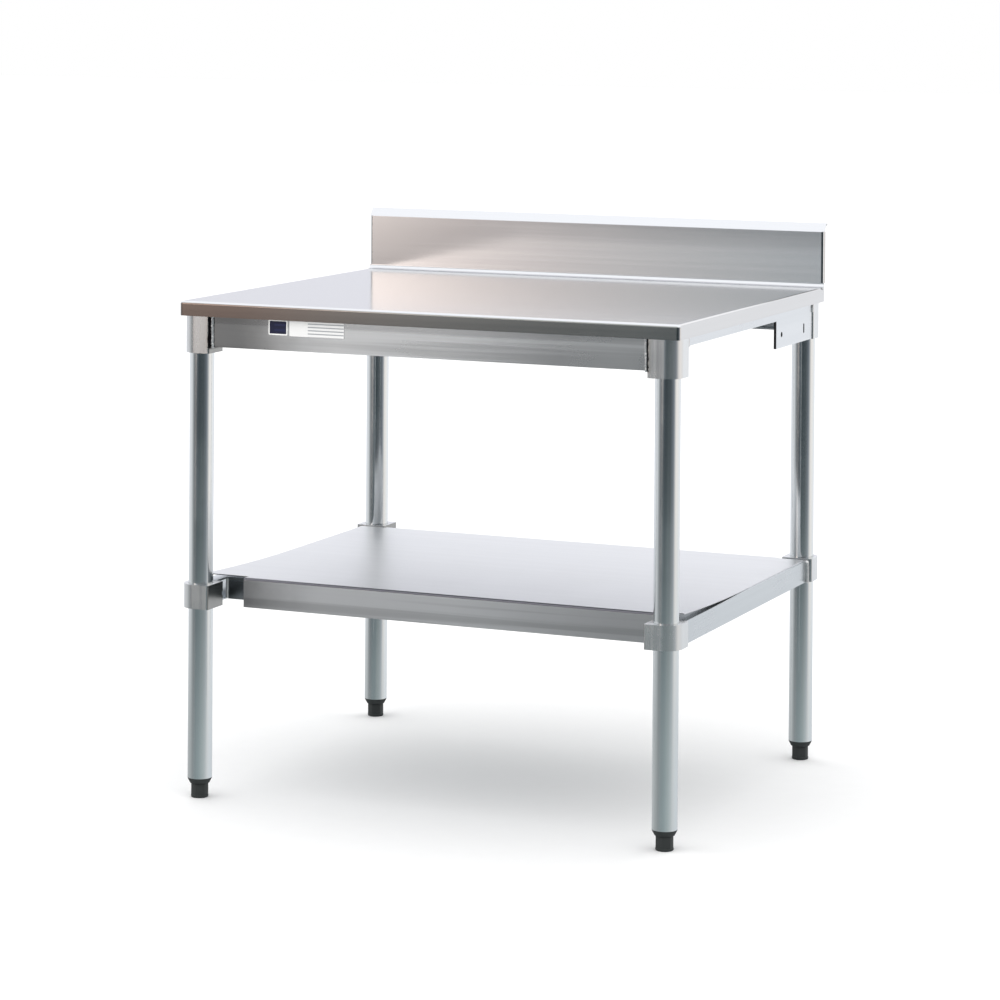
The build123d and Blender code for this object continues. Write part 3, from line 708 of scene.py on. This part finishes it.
# Painted shade: the shelf rails take a darker copy of the side rails' metal.
SHADED_CARRIAGE = replace(
    SIDE_RAIL, name="carriage_aluminium", dark=(0.55, 0.58, 0.60), light=(0.66, 0.69, 0.71)
)
TUBE = MetalFinish(
    "tube_aluminium", (0.69, 0.72, 0.73), (0.79, 0.82, 0.83), 0.12, 0.18,
    along=2.0, across=420.0, depth=0.02, smears=0.4,
)
BLOCK = MetalFinish(
    "socket_aluminium", (0.66, 0.67, 0.68), (0.77, 0.78, 0.78), 0.20, 0.32,
    along=4.0, across=300.0, depth=0.03, smears=0.45, dust=0.06,
    # Painted shade: faces that look inwards, towards the table's middle, are painted darker.
    painted_light=(("Inside", (0.34, 0.34, 0.33)),),
)
SHELF = MetalFinish(
    "shelf_aluminium", (0.66, 0.67, 0.69), (0.72, 0.73, 0.75), 0.34, 0.42,
    # The skirt takes the painted reflection stretches too, at a lower tone.
    along=1.6, across=420.0, depth=0.01, smears=0.25, dust=0.05, painted_band_length=1.08, painted_band_tone=0.80,
    # Painted shade: the sheet's folds, such as the skirt's top bend, are painted dark.
    painted_light=(("Fold", (0.16, 0.16, 0.18)),),
)


# --- small parts --------------------------------------------------------------------------
def finish_piece(
    mesh: bmesh.types.BMesh,
    name: str,
    body: str,
    material: bpy.types.Material,
    replaced: Iterable[str] = (),
    smooth_angle: float = 35.0,
) -> bpy.types.Object:
    """Turns a finished mesh into a piece that rides on a body.

    Args:
        mesh: The mesh, in its place; it is freed.
        name: Name of the new object.
        body: Body it moves with.
        material: Its material.
        replaced: CAD nodes that it stands for.
        smooth_angle: Edges sharper than this, in degrees, stay sharp.

    Returns:
        The new object.
    """
    bmesh.ops.recalc_face_normals(mesh, faces=mesh.faces)
    for face in mesh.faces:
        face.smooth = True
    limit = math.radians(smooth_angle)
    for edge in mesh.edges:
        edge.smooth = edge.is_manifold and edge.calc_face_angle(0.0) < limit
    data = bpy.data.meshes.new(name)
    mesh.to_mesh(data)
    mesh.free()
    data.materials.append(material)
    piece = bpy.data.objects.new(name, data)
    bpy.context.scene.collection.objects.link(piece)
    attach(piece, body)
    if replaced:
        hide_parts(*replaced)
    log.info("piece %s on %s: %d faces", name, body, len(data.polygons))
    return piece


def new_vertices(result: dict[str, Any]) -> list[bmesh.types.BMVert]:
    """Returns the vertices among an operator's results."""
    return [item for item in result["geom"] if isinstance(item, bmesh.types.BMVert)]


def foot_point(low: Vector, high: Vector) -> Vector:
    """Returns the middle of a box's lower face."""
    return Vector(((low.x + high.x) / 2, (low.y + high.y) / 2, low.z))


def spin_profile(
    mesh: bmesh.types.BMesh, profile: Sequence[tuple[float, float]], centre: Vector, steps: int
) -> None:
    """Spins a closed outline of (radius, height) once around an upright axis.

    Args:
        mesh: Mesh that takes the turned shape.
        profile: Outline that starts and ends on the axis or closes on itself.
        centre: Point of the axis that heights count from.
        steps: Faces around.
    """
    corners = [mesh.verts.new(centre + Vector((r, 0.0, z))) for r, z in profile]
    edges = [mesh.edges.new(pair) for pair in zip(corners, corners[1:])]
    if profile[0][0] > 0.0:
        edges.append(mesh.edges.new((corners[-1], corners[0])))
    bmesh.ops.spin(
        mesh, geom=corners + edges, cent=centre, axis=(0, 0, 1), dvec=(0, 0, 0),
        angle=math.tau, steps=steps, use_merge=True, use_duplicate=False,
    )
    bmesh.ops.remove_doubles(mesh, verts=mesh.verts, dist=1e-6)


@dataclass(frozen=True)
class WeldRun:
    """One fillet weld in a corner, laid as overlapping pools."""

    start: Vector
    end: Vector
    outward: Vector
    radius: float = 3.4 * MM
    pitch: float = 4.2 * MM
    wander: float = 0.5 * MM
    end_size: float = 0.7
    lean: float = -0.45
    seat: float = 0.35

    def add_to(self, mesh: bmesh.types.BMesh, dice: random.Random) -> None:
        """Adds the bead to a mesh.

        Args:
            mesh: Mesh that takes the bead.
            dice: Source of the bead's unevenness.
        """
        along = self.end - self.start
        rings = max(6, round(along.length / (self.pitch / 5)))
        step = along.length / rings
        made = bmesh.ops.create_circle(mesh, cap_ends=True, segments=12, radius=self.radius * self.end_size)
        bead = list(made["verts"])
        loop = [edge for edge in mesh.edges if all(v in bead for v in edge.verts)]
        size, phase = self.end_size, dice.random()
        for number in range(1, rings + 1):
            made = bmesh.ops.extrude_edge_only(mesh, edges=loop)
            ring = new_vertices(made)
            loop = [
                item for item in made["geom"]
                if isinstance(item, bmesh.types.BMEdge) and all(v in ring for v in item.verts)
            ]
            pool = (number * step / self.pitch + phase) % 1.0
            wanted = 0.86 + 0.24 * math.sqrt(pool) + dice.uniform(-0.03, 0.03)
            if number == rings:
                wanted = 0.6
            middle = sum((v.co for v in ring), Vector()) / len(ring)
            factor = wanted / size
            bmesh.ops.scale(
                mesh, vec=(factor, factor, 1.0), space=Matrix.Translation(-middle), verts=ring
            )
            drift = Vector((dice.uniform(-1, 1), dice.uniform(-1, 1), 0.0)) * self.wander * 0.3
            bmesh.ops.translate(mesh, vec=Vector((0, 0, step)) + drift, verts=ring)
            size = wanted
            bead += ring
        bmesh.ops.contextual_create(mesh, geom=loop)
        lean = Matrix.Identity(4)
        lean[2][0] = self.lean
        bmesh.ops.transform(mesh, matrix=lean, verts=bead)
        z_axis, x_axis = along.normalized(), self.outward.normalized()
        turn = Matrix((x_axis, z_axis.cross(x_axis), z_axis)).transposed().to_4x4()
        place = Matrix.Translation(self.start + x_axis * self.radius * self.seat)
        bmesh.ops.transform(mesh, matrix=place @ turn, verts=bead)


@dataclass(frozen=True)
class ScrewThread:
    """A rod's screw thread: a plain core with a ridge wound around it."""

    radius: float
    pitch: float
    depth: float
    per_turn: int = 18

    def add_to(self, mesh: bmesh.types.BMesh, low: Vector, length: float) -> None:
        """Adds the threaded rod to a mesh.

        Args:
            mesh: Mesh that takes the rod.
            low: Middle of the rod's lower end.
            length: Length of the rod.
        """
        root = self.radius - self.depth
        lead = self.depth
        spin_profile(
            mesh, [(0, 0), (root, 0), (root, length - lead), (root - lead, length), (0, length)],
            low, self.per_turn,
        )
        inner = root - 0.1 * self.depth
        outline = (
            (inner, 0.10 * self.pitch), (self.radius, 0.44 * self.pitch),
            (self.radius, 0.56 * self.pitch), (inner, 0.90 * self.pitch),
        )
        turns = (length - 2 * self.pitch) / self.pitch
        steps = round(turns * self.per_turn)
        corners = [mesh.verts.new(low + Vector((r, 0.0, z))) for r, z in outline]
        face = mesh.faces.new(corners)
        bmesh.ops.spin(
            mesh, geom=[face, *face.verts, *face.edges], cent=low, axis=(0, 0, 1),
            dvec=(0, 0, turns * self.pitch / steps), angle=turns * math.tau, steps=steps,
            use_merge=False, use_duplicate=False,
        )
        bmesh.ops.holes_fill(mesh, edges=[e for e in mesh.edges if e.is_boundary], sides=6)


# --- sub-assemblies -----------------------------------------------------------------------
def dress(names: Iterable[str], material: bpy.types.Material) -> None:
    """Gives CAD nodes a material."""
    for name in names:
        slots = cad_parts[name].data.materials
        for number in range(len(slots)):
            slots[number] = material


@dataclass
class Worktop:
    """Folded stainless sheet with its stiffener, studs and nuts."""

    stud_radius: float = 3.0 * MM
    stud_pitch: float = 1.0 * MM
    flange_radius: float = 6.6 * MM
    flange_height: float = 1.1 * MM
    nut_flats: float = 10.0 * MM

    def build(self) -> None:
        """Dresses the sheet and makes the threaded studs and flanged nuts."""
        dress(["worktop"], STAINLESS.material(Run.WIDTH, Run.DEPTH))
        dress(["worktop_stiffener"], GALVANISED.material(Run.WIDTH))
        low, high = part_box("worktop_studs")
        nut_low, nut_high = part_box("worktop_nuts")
        rows = (low.y + self.stud_radius, high.y - self.stud_radius)
        columns = (low.x + self.stud_radius, 0.0, high.x - self.stud_radius)
        studs, nuts = bmesh.new(), bmesh.new()
        thread = ScrewThread(self.stud_radius, self.stud_pitch, 0.45 * MM, per_turn=14)
        for x in columns:
            for y in rows:
                thread.add_to(studs, Vector((x, y, low.z)), high.z - low.z)
                self.add_nut(nuts, Vector((x, y, nut_low.z)), nut_high.z - nut_low.z)
        plated = PLATED.material()
        finish_piece(studs, "threaded_studs", "frame", plated, ["worktop_studs"])
        finish_piece(nuts, "flanged_nuts", "frame", plated, ["worktop_nuts"])

    def add_nut(self, mesh: bmesh.types.BMesh, low: Vector, height: float) -> None:
        """Adds one hexagonal nut with a round flange above it.

        Args:
            mesh: Mesh that takes the nut.
            low: Middle of the nut's lower face.
            height: Height of nut and flange together.
        """
        body = height - self.flange_height
        bore = self.stud_radius + 0.05 * MM
        corner = self.nut_flats / math.sqrt(3.0)
        made = bmesh.ops.create_circle(mesh, segments=6, radius=corner)
        outer = list(made["verts"])
        inner = list(bmesh.ops.create_circle(mesh, segments=6, radius=bore)["verts"])
        rings = [e for e in mesh.edges if all(v in outer + inner for v in e.verts)]
        made = bmesh.ops.bridge_loops(mesh, edges=rings)
        made = bmesh.ops.extrude_face_region(mesh, geom=made["faces"])
        lifted = new_vertices(made)
        bmesh.ops.translate(mesh, vec=(0, 0, body), verts=lifted)
        place = Matrix.Translation(low)
        bmesh.ops.transform(mesh, matrix=place, verts=outer + inner + lifted)
        rims = [
            e for v in outer for e in v.link_edges
            if e.other_vert(v) in outer or abs(e.other_vert(v).co.z - v.co.z) > body * 0.5
        ]
        bmesh.ops.bevel(
            mesh, geom=list(set(rims)), offset=0.5 * MM, offset_type="OFFSET", segments=2,
            profile=0.5, affect="EDGES", material=-1,
        )
        edge = self.flange_radius
        spin_profile(
            mesh,
            [
                (bore, body), (edge - 0.3 * MM, body), (edge, body + 0.3 * MM), (edge, height),
                (bore, height),
            ],
            low, 28,
        )


@dataclass
class Underframe:
    """Sockets, legs, rails and side plates with their welds."""

    bead_radius: float = 2.8 * MM
    bead_offset: float = 2.6 * MM
    side_bead: float = 2.2 * MM
    plate_bead: float = 2.6 * MM
    fine_pitch: float = 4.0 * MM
    stitch: float = 26.0 * MM
    stitches: int = 4

    def build(self) -> None:
        """Dresses the frame's members and lays their welds."""
        rail_low, rail_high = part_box("front_rail")
        seam = Weld(rail_high.x, 3.2 * MM, rail_low.z)
        dress(["front_rail", "rear_rail"], RAIL.material(Run.WIDTH, weld=seam))
        dress(["left_side_rail", "right_side_rail"], SIDE_RAIL.material(Run.DEPTH))
        dress(["left_side_plate", "right_side_plate"], SIDE_PLATE.material(Run.DEPTH))
        dress([f"socket_{c}" for c in CORNERS], BLOCK.material(Run.HEIGHT, weld=seam))
        dress([f"leg_{c}" for c in CORNERS], TUBE.material(Run.HEIGHT))
        dress(["socket_set_screws"], BlackOxide().material())
        self.build_rail_welds()
        self.build_side_welds()

    def build_rail_welds(self) -> None:
        """Lays the four upright welds between the main rails and the sockets."""
        mesh, dice = bmesh.new(), random.Random(11)
        for rail, face in (("front_rail", 0), ("rear_rail", 1)):
            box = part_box(rail)
            low, high = box
            away = -1.0 if face == 0 else 1.0
            for x, inward in ((low.x, 1.0), (high.x, -1.0)):
                middle = x + inward * self.bead_offset
                run = WeldRun(
                    Vector((middle, box[face].y, low.z - 1.5 * MM)),
                    Vector((middle, box[face].y, high.z - 1.0 * MM)),
                    Vector((inward, away, 0.0)), self.bead_radius, 6.0 * MM, 0.8 * MM,
                )
                run.add_to(mesh, dice)
        finish_piece(
            mesh, "rippled_rail_welds", "frame",
            RippledWeldMetal().material(), ["frame_weld_beads"], smooth_angle=WELD_ANGLE,
        )

    def build_side_welds(self) -> None:
        """Lays the welds of the side rails and side plates."""
        mesh, dice = bmesh.new(), random.Random(12)
        for side in ("left", "right"):
            sign = -1.0 if side == "left" else 1.0
            low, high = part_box(f"{side}_side_rail")
            face = high.x if sign > 0 else low.x
            for y, inward in ((low.y, 1.0), (high.y, -1.0)):
                WeldRun(
                    Vector((face, y, low.z - 0.5 * MM)), Vector((face, y, high.z - 1.0 * MM)),
                    Vector((sign, inward, 0.0)), self.side_bead, self.fine_pitch,
                ).add_to(mesh, dice)
            plate_low, plate_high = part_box(f"{side}_side_plate")
            inner = plate_low.x if sign > 0 else plate_high.x
            gap = plate_high.y - plate_low.y - self.stitches * self.stitch
            gap /= self.stitches - 1
            for number in range(self.stitches):
                start = plate_low.y + number * (self.stitch + gap)
                WeldRun(
                    Vector((inner, start + 2 * MM, plate_high.z)),
                    Vector((inner, start + self.stitch, plate_high.z)),
                    Vector((-sign, 0.0, -1.0)), self.plate_bead, self.fine_pitch,
                ).add_to(mesh, dice)
        finish_piece(
            mesh, "rippled_side_welds", "frame",
            RippledWeldMetal().material(), smooth_angle=WELD_ANGLE,
        )


@dataclass
class LevellingFeet:
    """Inserts, threaded stems and hexagonal feet at the four legs."""

    stem_pitch: float = 1.75 * MM
    thread_depth: float = 0.9 * MM
    thread_gap: float = 0.08 * MM
    hex_flats: float = 27.0 * MM
    bevel: float = 1.3 * MM

    def build(self) -> None:
        """Makes each corner's insert, stem and foot."""
        for corner in CORNERS:
            self.build_insert(corner)
            self.build_stem(corner)
            self.build_foot(corner)

    def build_insert(self, corner: str) -> None:
        """Makes the moulded plug with its rounded taper below the tube."""
        low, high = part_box(f"foot_insert_{corner}")
        leg_low, leg_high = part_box(f"leg_{corner}")
        stem_low, stem_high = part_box(f"foot_stem_{corner}")
        tube = (leg_high.x - leg_low.x) / 2
        bore = (stem_high.x - stem_low.x) / 2 + self.thread_gap
        ring = leg_low.z - low.z
        plug = tube - 2.95 * MM
        top = high.z - low.z
        outline = [
            (bore, 0.6 * MM), (bore + 0.6 * MM, 0.0), (tube - 5.2 * MM, 0.0),
            (tube - 4.5 * MM, 0.4 * MM), (tube - 1.7 * MM, ring * 0.55), (tube - 0.7 * MM, ring * 0.74),
            (tube - 0.15 * MM, ring * 0.88), (tube, ring), (plug, ring), (plug, top - 1.5 * MM),
            (plug - 1.5 * MM, top), (bore, top),
        ]
        mesh = bmesh.new()
        spin_profile(mesh, outline, foot_point(low, high), 64)
        finish_piece(
            mesh, f"moulded_insert_{corner}", "frame",
            MouldedPlastic().material(), [f"foot_insert_{corner}"], smooth_angle=40.0,
        )

    def build_stem(self, corner: str) -> None:
        """Makes the screw-threaded stem."""
        low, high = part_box(f"foot_stem_{corner}")
        thread = ScrewThread((high.x - low.x) / 2, self.stem_pitch, self.thread_depth)
        mesh = bmesh.new()
        middle = foot_point(low, high)
        thread.add_to(mesh, middle, high.z - low.z)
        finish_piece(
            mesh, f"threaded_stem_{corner}", f"{corner}_stem",
            PLATED.material(), [f"foot_stem_{corner}"], smooth_angle=50.0,
        )

    def build_foot(self, corner: str) -> None:
        """Makes the hexagonal foot with its softened corners and round base."""
        low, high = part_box(f"foot_{corner}")
        middle = foot_point(low, high)
        base = (high.x - low.x) / 2
        stem_low, stem_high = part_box(f"foot_stem_{corner}")
        bore = (stem_high.x - stem_low.x) / 2 + self.thread_gap
        floor = stem_low.z - low.z
        height = high.z - low.z
        mesh = bmesh.new()
        outline = [
            (0.0, 0.0), (base - 1.6 * MM, 0.0), (base - 0.5 * MM, 0.45 * MM), (base, 1.5 * MM),
            (base, 3.6 * MM), (base - 0.4 * MM, 4.7 * MM), (base - 1.3 * MM, 5.4 * MM),
            (bore + 0.4 * MM, 5.4 * MM), (bore + 0.4 * MM, floor), (0.0, floor),
        ]
        spin_profile(mesh, outline, middle, 48)
        corner_radius = self.hex_flats / math.sqrt(3.0)
        outer = list(bmesh.ops.create_circle(mesh, segments=24, radius=corner_radius)["verts"])
        inner = list(bmesh.ops.create_circle(mesh, segments=24, radius=bore)["verts"])
        flats = self.hex_flats / 2
        for vertex in outer:
            angle = math.atan2(vertex.co.y, vertex.co.x)
            off = (angle + math.radians(30.0)) % math.radians(60.0) - math.radians(30.0)
            reach = min(flats / math.cos(off), base - 0.3 * MM)
            vertex.co = Vector((math.cos(angle), math.sin(angle), 0.0)) * reach
        both = set(outer + inner)
        rings = [e for e in mesh.edges if e.verts[0] in both and e.verts[1] in both]
        faces = bmesh.ops.bridge_loops(mesh, edges=rings)["faces"]
        lifted = new_vertices(bmesh.ops.extrude_face_region(mesh, geom=faces))
        bmesh.ops.translate(mesh, vec=(0, 0, height - 4.6 * MM), verts=lifted)
        bmesh.ops.transform(
            mesh, matrix=Matrix.Translation(middle + Vector((0, 0, 4.6 * MM))),
            verts=outer + inner + lifted,
        )
        top = [v for v in lifted if (v.co - middle).xy.length > bore + 2 * MM]
        rim = [e for v in top for e in v.link_edges if e.other_vert(v) in top]
        bmesh.ops.bevel(
            mesh, geom=list(set(rim)), offset=self.bevel, offset_type="OFFSET", segments=3,
            profile=0.5, affect="EDGES", material=-1,
        )
        finish_piece(
            mesh, f"moulded_foot_{corner}", f"{corner}_foot",
            MouldedPlastic().material(), [f"foot_{corner}"], smooth_angle=32.0,
        )


@dataclass
class Undershelf:
    """Shelf sheet on its welded carriage of rails and collars."""

    bead_radius: float = 3.8 * MM

    def build(self) -> None:
        """Dresses the shelf's members and lays the carriage's welds."""
        rail_low, rail_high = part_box("right_shelf_rail")
        dress(["shelf_sheet"], SHELF.material(Run.WIDTH, Run.DEPTH))
        dress(["shelf_stiffener"], RAIL.material(Run.WIDTH))
        dress(["front_cross_rail", "rear_cross_rail"], RAIL.material(Run.WIDTH))
        dress(["left_shelf_rail", "right_shelf_rail"], SHADED_CARRIAGE.material(Run.DEPTH))
        dress([f"collar_{c}" for c in CORNERS], BLOCK.material(Run.HEIGHT))
        dress(["collar_set_screws"], BlackOxide().material())
        self.build_welds()

    def build_welds(self) -> None:
        """Lays the welds between rails and collars, and between the rails."""
        mesh, dice = bmesh.new(), random.Random(21)
        for side in ("left", "right"):
            sign = -1.0 if side == "left" else 1.0
            low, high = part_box(f"{side}_shelf_rail")
            face = high.x if sign > 0 else low.x
            inner = low.x if sign > 0 else high.x
            for y, inward in ((low.y, 1.0), (high.y, -1.0)):
                WeldRun(
                    Vector((face, y, low.z - 1.0 * MM)), Vector((face, y, high.z)),
                    Vector((sign, inward, 0.0)), self.bead_radius, 6.5 * MM, 0.9 * MM,
                ).add_to(mesh, dice)
            for cross, away in (("front_cross_rail", -1.0), ("rear_cross_rail", 1.0)):
                cross_low, cross_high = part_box(cross)
                y = cross_low.y if away < 0 else cross_high.y
                WeldRun(
                    Vector((inner, y, low.z + 1.0 * MM)), Vector((inner, y, high.z - 1.0 * MM)),
                    Vector((-sign, away, 0.0)), 2.6 * MM, 4.5 * MM,
                ).add_to(mesh, dice)
        finish_piece(
            mesh, "rippled_shelf_welds", "undershelf",
            RippledWeldMetal().material(), ["shelf_weld_beads"], smooth_angle=WELD_ANGLE,
        )


@dataclass
class Stickers:
    """The two stickers on the front rail, left blank."""

    margin: float = 1.5 * MM

    def build(self) -> None:
        """Dresses both stickers."""
        small = BlankSticker(
            "blue_label", (0.006, 0.008, 0.035), (0.82, 0.82, 0.80), (0.012, 0.016, 0.06),
            2.2 * MM, 9.0 * MM, 0.3, 0.2,
        )
        large = BlankSticker(
            "white_label", (0.80, 0.80, 0.79), (0.30, 0.30, 0.31), (0.34, 0.35, 0.37),
            0.7 * MM, 5.6 * MM, 0.34, 0.16,
        )
        for name, sticker in (("square_label", small), ("long_label", large)):
            dress([name], sticker.material(*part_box(name)))


# --- studio -------------------------------------------------------------------------------
@dataclass(frozen=True)
class Studio:
    """Pale floor, and a soft room: dark on the camera's side, bright behind and above."""

    facing: float = 23.2
    floor_half: float = 40.0
    floor_glow: tuple[float, float] = (-0.145, -0.235)
    window_height: tuple[float, float, float, float] = (-0.102, -0.043, 0.16, 0.26)
    window_gain: float = 2.4
    ceiling_height: tuple[float, float] = (0.24, 0.40)
    ceiling: float = 1.42
    fill: float = 1.30
    softbox_power: float = 9.0

    def build(self) -> None:
        """Makes the room's light, the softbox and the floor."""
        bpy.context.scene.view_settings.view_transform = "Standard"
        self.build_room()
        self.build_softbox()
        self.build_floor()

    def build_room(self) -> None:
        """Makes the room's glow from its direction: around, below, above and one window."""
        world = bpy.data.worlds.new("studio_room")
        world.use_nodes = True
        bpy.context.scene.world = world
        sheet = NodeSheet(world.node_tree)
        way = sheet.add("ShaderNodeTexCoord").outputs["Generated"]
        height = sheet.split(way)["Z"]
        sine, cosine = math.sin(math.radians(self.facing)), math.cos(math.radians(self.facing))
        ahead = sheet.vector("DOT_PRODUCT", way, (sine, -cosine, 0.0)).outputs["Value"]
        aside = sheet.vector("DOT_PRODUCT", way, (cosine, sine, 0.0)).outputs["Value"]
        bearing = sheet.math("ARCTAN2", aside, ahead)
        around = sheet.math("ADD", sheet.math("DIVIDE", bearing, math.tau), 0.5)
        walls = sheet.ramp(around, self.stops((
            (-180, (0.86, 0.87, 0.94)), (-122, (0.92, 0.93, 0.96)), (-98, (0.80, 0.81, 0.83)),
            (-80, (0.36, 0.37, 0.38)), (-62, (0.11, 0.12, 0.13)), (-40, (0.056, 0.065, 0.075)),
            (-8, (0.038, 0.048, 0.056)), (22, (0.064, 0.077, 0.087)), (46, (0.14, 0.16, 0.185)),
            (60, (0.34, 0.36, 0.39)), (72, (0.90, 0.85, 0.81)), (84, (1.12, 1.05, 1.00)),
            (106, (1.05, 1.02, 1.00)), (134, (1.03, 1.05, 1.08)), (180, (0.87, 0.88, 0.95)),
        )))
        ground = sheet.ramp(around, self.stops((
            (-180, (0.64, 0.66, 0.68)), (-100, (0.42, 0.44, 0.44)), (-66, (0.34, 0.37, 0.38)),
            (-40, (0.34, 0.40, 0.41)), (-8, (0.40, 0.47, 0.48)), (28, (0.54, 0.60, 0.60)),
            (62, (0.70, 0.73, 0.74)), (110, (0.76, 0.80, 0.84)), (180, (0.64, 0.66, 0.68)),
        )))
        pane = sheet.ramp(around, self.stops((
            (-68, (0.0, 0.0, 0.0)), (-62, (0.40, 0.34, 0.30)), (-56, (0.95, 0.82, 0.75)),
            (-48.9, (1.0, 0.90, 0.84)), (-47.9, (0.54, 0.45, 0.42)), (-46.9, (0.36, 0.32, 0.31)),
            (-44.8, (0.32, 0.31, 0.31)), (-43.2, (0.28, 0.29, 0.29)), (-41.8, (0.24, 0.26, 0.27)),
            (-40.6, (0.21, 0.235, 0.25)), (-34, (0.10, 0.12, 0.14)), (-26, (0.0, 0.0, 0.0)),
        )))
        low, sill, head, top = self.window_height
        below_head = sheet.step(height, head, top, 1.0, 0.0)
        lit = sheet.times(sheet.step(height, low, sill), below_head)
        pane = sheet.scale(pane, sheet.times(lit, self.window_gain))
        glow = sheet.blend(sheet.step(height, *self.floor_glow), walls, ground)
        glow = sheet.vector("ADD", glow, pane).outputs[0]
        lid = (self.ceiling, self.ceiling, self.ceiling * 1.01, 1.0)
        glow = sheet.blend(sheet.step(height, *self.ceiling_height), glow, lid)
        path = sheet.add("ShaderNodeLightPath").outputs
        glow = sheet.blend(path["Is Diffuse Ray"], glow, (self.fill, self.fill, self.fill, 1.0))
        glow = sheet.blend(path["Is Camera Ray"], glow, (1.0, 1.0, 1.0, 1.0))
        sheet.tree.links.new(glow, world.node_tree.nodes["Background"].inputs["Color"])

    @staticmethod
    def stops(marks: Sequence[tuple[float, Colour]]) -> list[tuple[float, Colour]]:
        """Turns bearings in degrees, from the camera's side, into places on a ramp."""
        return [(degrees / 360.0 + 0.5, colour) for degrees, colour in marks]

    def build_softbox(self) -> None:
        """Hangs one wide soft light over the table, for soft shadows on the floor."""
        light = bpy.data.lights.new("overhead_softbox", "AREA")
        light.shape, light.size, light.size_y = "RECTANGLE", 2.6, 2.2
        light.energy = self.softbox_power
        lamp = bpy.data.objects.new("overhead_softbox", light)
        lamp.location = (-0.4, -0.3, 3.4)
        lamp.visible_glossy = False
        bpy.context.scene.collection.objects.link(lamp)

    def build_floor(self) -> None:
        """Lays the pale floor that the table stands on."""
        mesh = bmesh.new()
        bmesh.ops.create_grid(mesh, x_segments=8, y_segments=8, size=self.floor_half)
        data = bpy.data.meshes.new("floor")
        mesh.to_mesh(data)
        mesh.free()
        material, sheet, surface = start_material("pale_floor")
        speckle = sheet.noise(object_place(sheet), 30.0, 3.0)
        colour = sheet.blend(speckle, (0.93, 0.93, 0.93, 1.0), (0.955, 0.955, 0.955, 1.0))
        wire(sheet, surface, {"Base Color": colour})
        surface.inputs["Roughness"].default_value = 0.8
        surface.inputs["Specular IOR Level"].default_value = 0.0
        data.materials.append(material)
        floor = bpy.data.objects.new("floor", data)
        bpy.context.scene.collection.objects.link(floor)
        floor.visible_glossy = False


@dataclass(frozen=True)
class ViewPoint:
    """The camera's place, in metres, and its turns, in degrees."""

    place: Colour = (2.2857, -5.3994, 1.3896)
    azimuth: float = 23.20
    tilt: float = 0.80
    roll: float = 0.40
    lens: float = 119.34
    shift: float = -0.4611

    def build(self) -> None:
        """Makes the camera and looks through it."""
        data = bpy.data.cameras.new("camera")
        data.lens, data.sensor_width, data.shift_y = self.lens, 36.0, self.shift
        data.clip_end = 200.0
        camera = bpy.data.objects.new("camera", data)
        bpy.context.scene.collection.objects.link(camera)
        turn = (
            Matrix.Rotation(math.radians(self.azimuth), 4, "Z")
            @ Matrix.Rotation(math.radians(90.0 - self.tilt), 4, "X")
            @ Matrix.Rotation(math.radians(self.roll), 4, "Z")
        )
        camera.matrix_world = Matrix.Translation(self.place) @ turn
        bpy.context.scene.camera = camera


def main() -> None:
    """Builds the pieces, the studio and the camera, in that order."""
    logging.basicConfig(level=logging.INFO, format="%(name)s: %(message)s")
    bpy.context.view_layer.update()
    for assembly in (Worktop(), Underframe(), LevellingFeet(), Undershelf(), Stickers()):
        assembly.build()
        log.info("built %s", type(assembly).__name__)
    Studio().build()
    ViewPoint().build()
    bpy.context.view_layer.update()


if __name__ == "__main__":
    main()
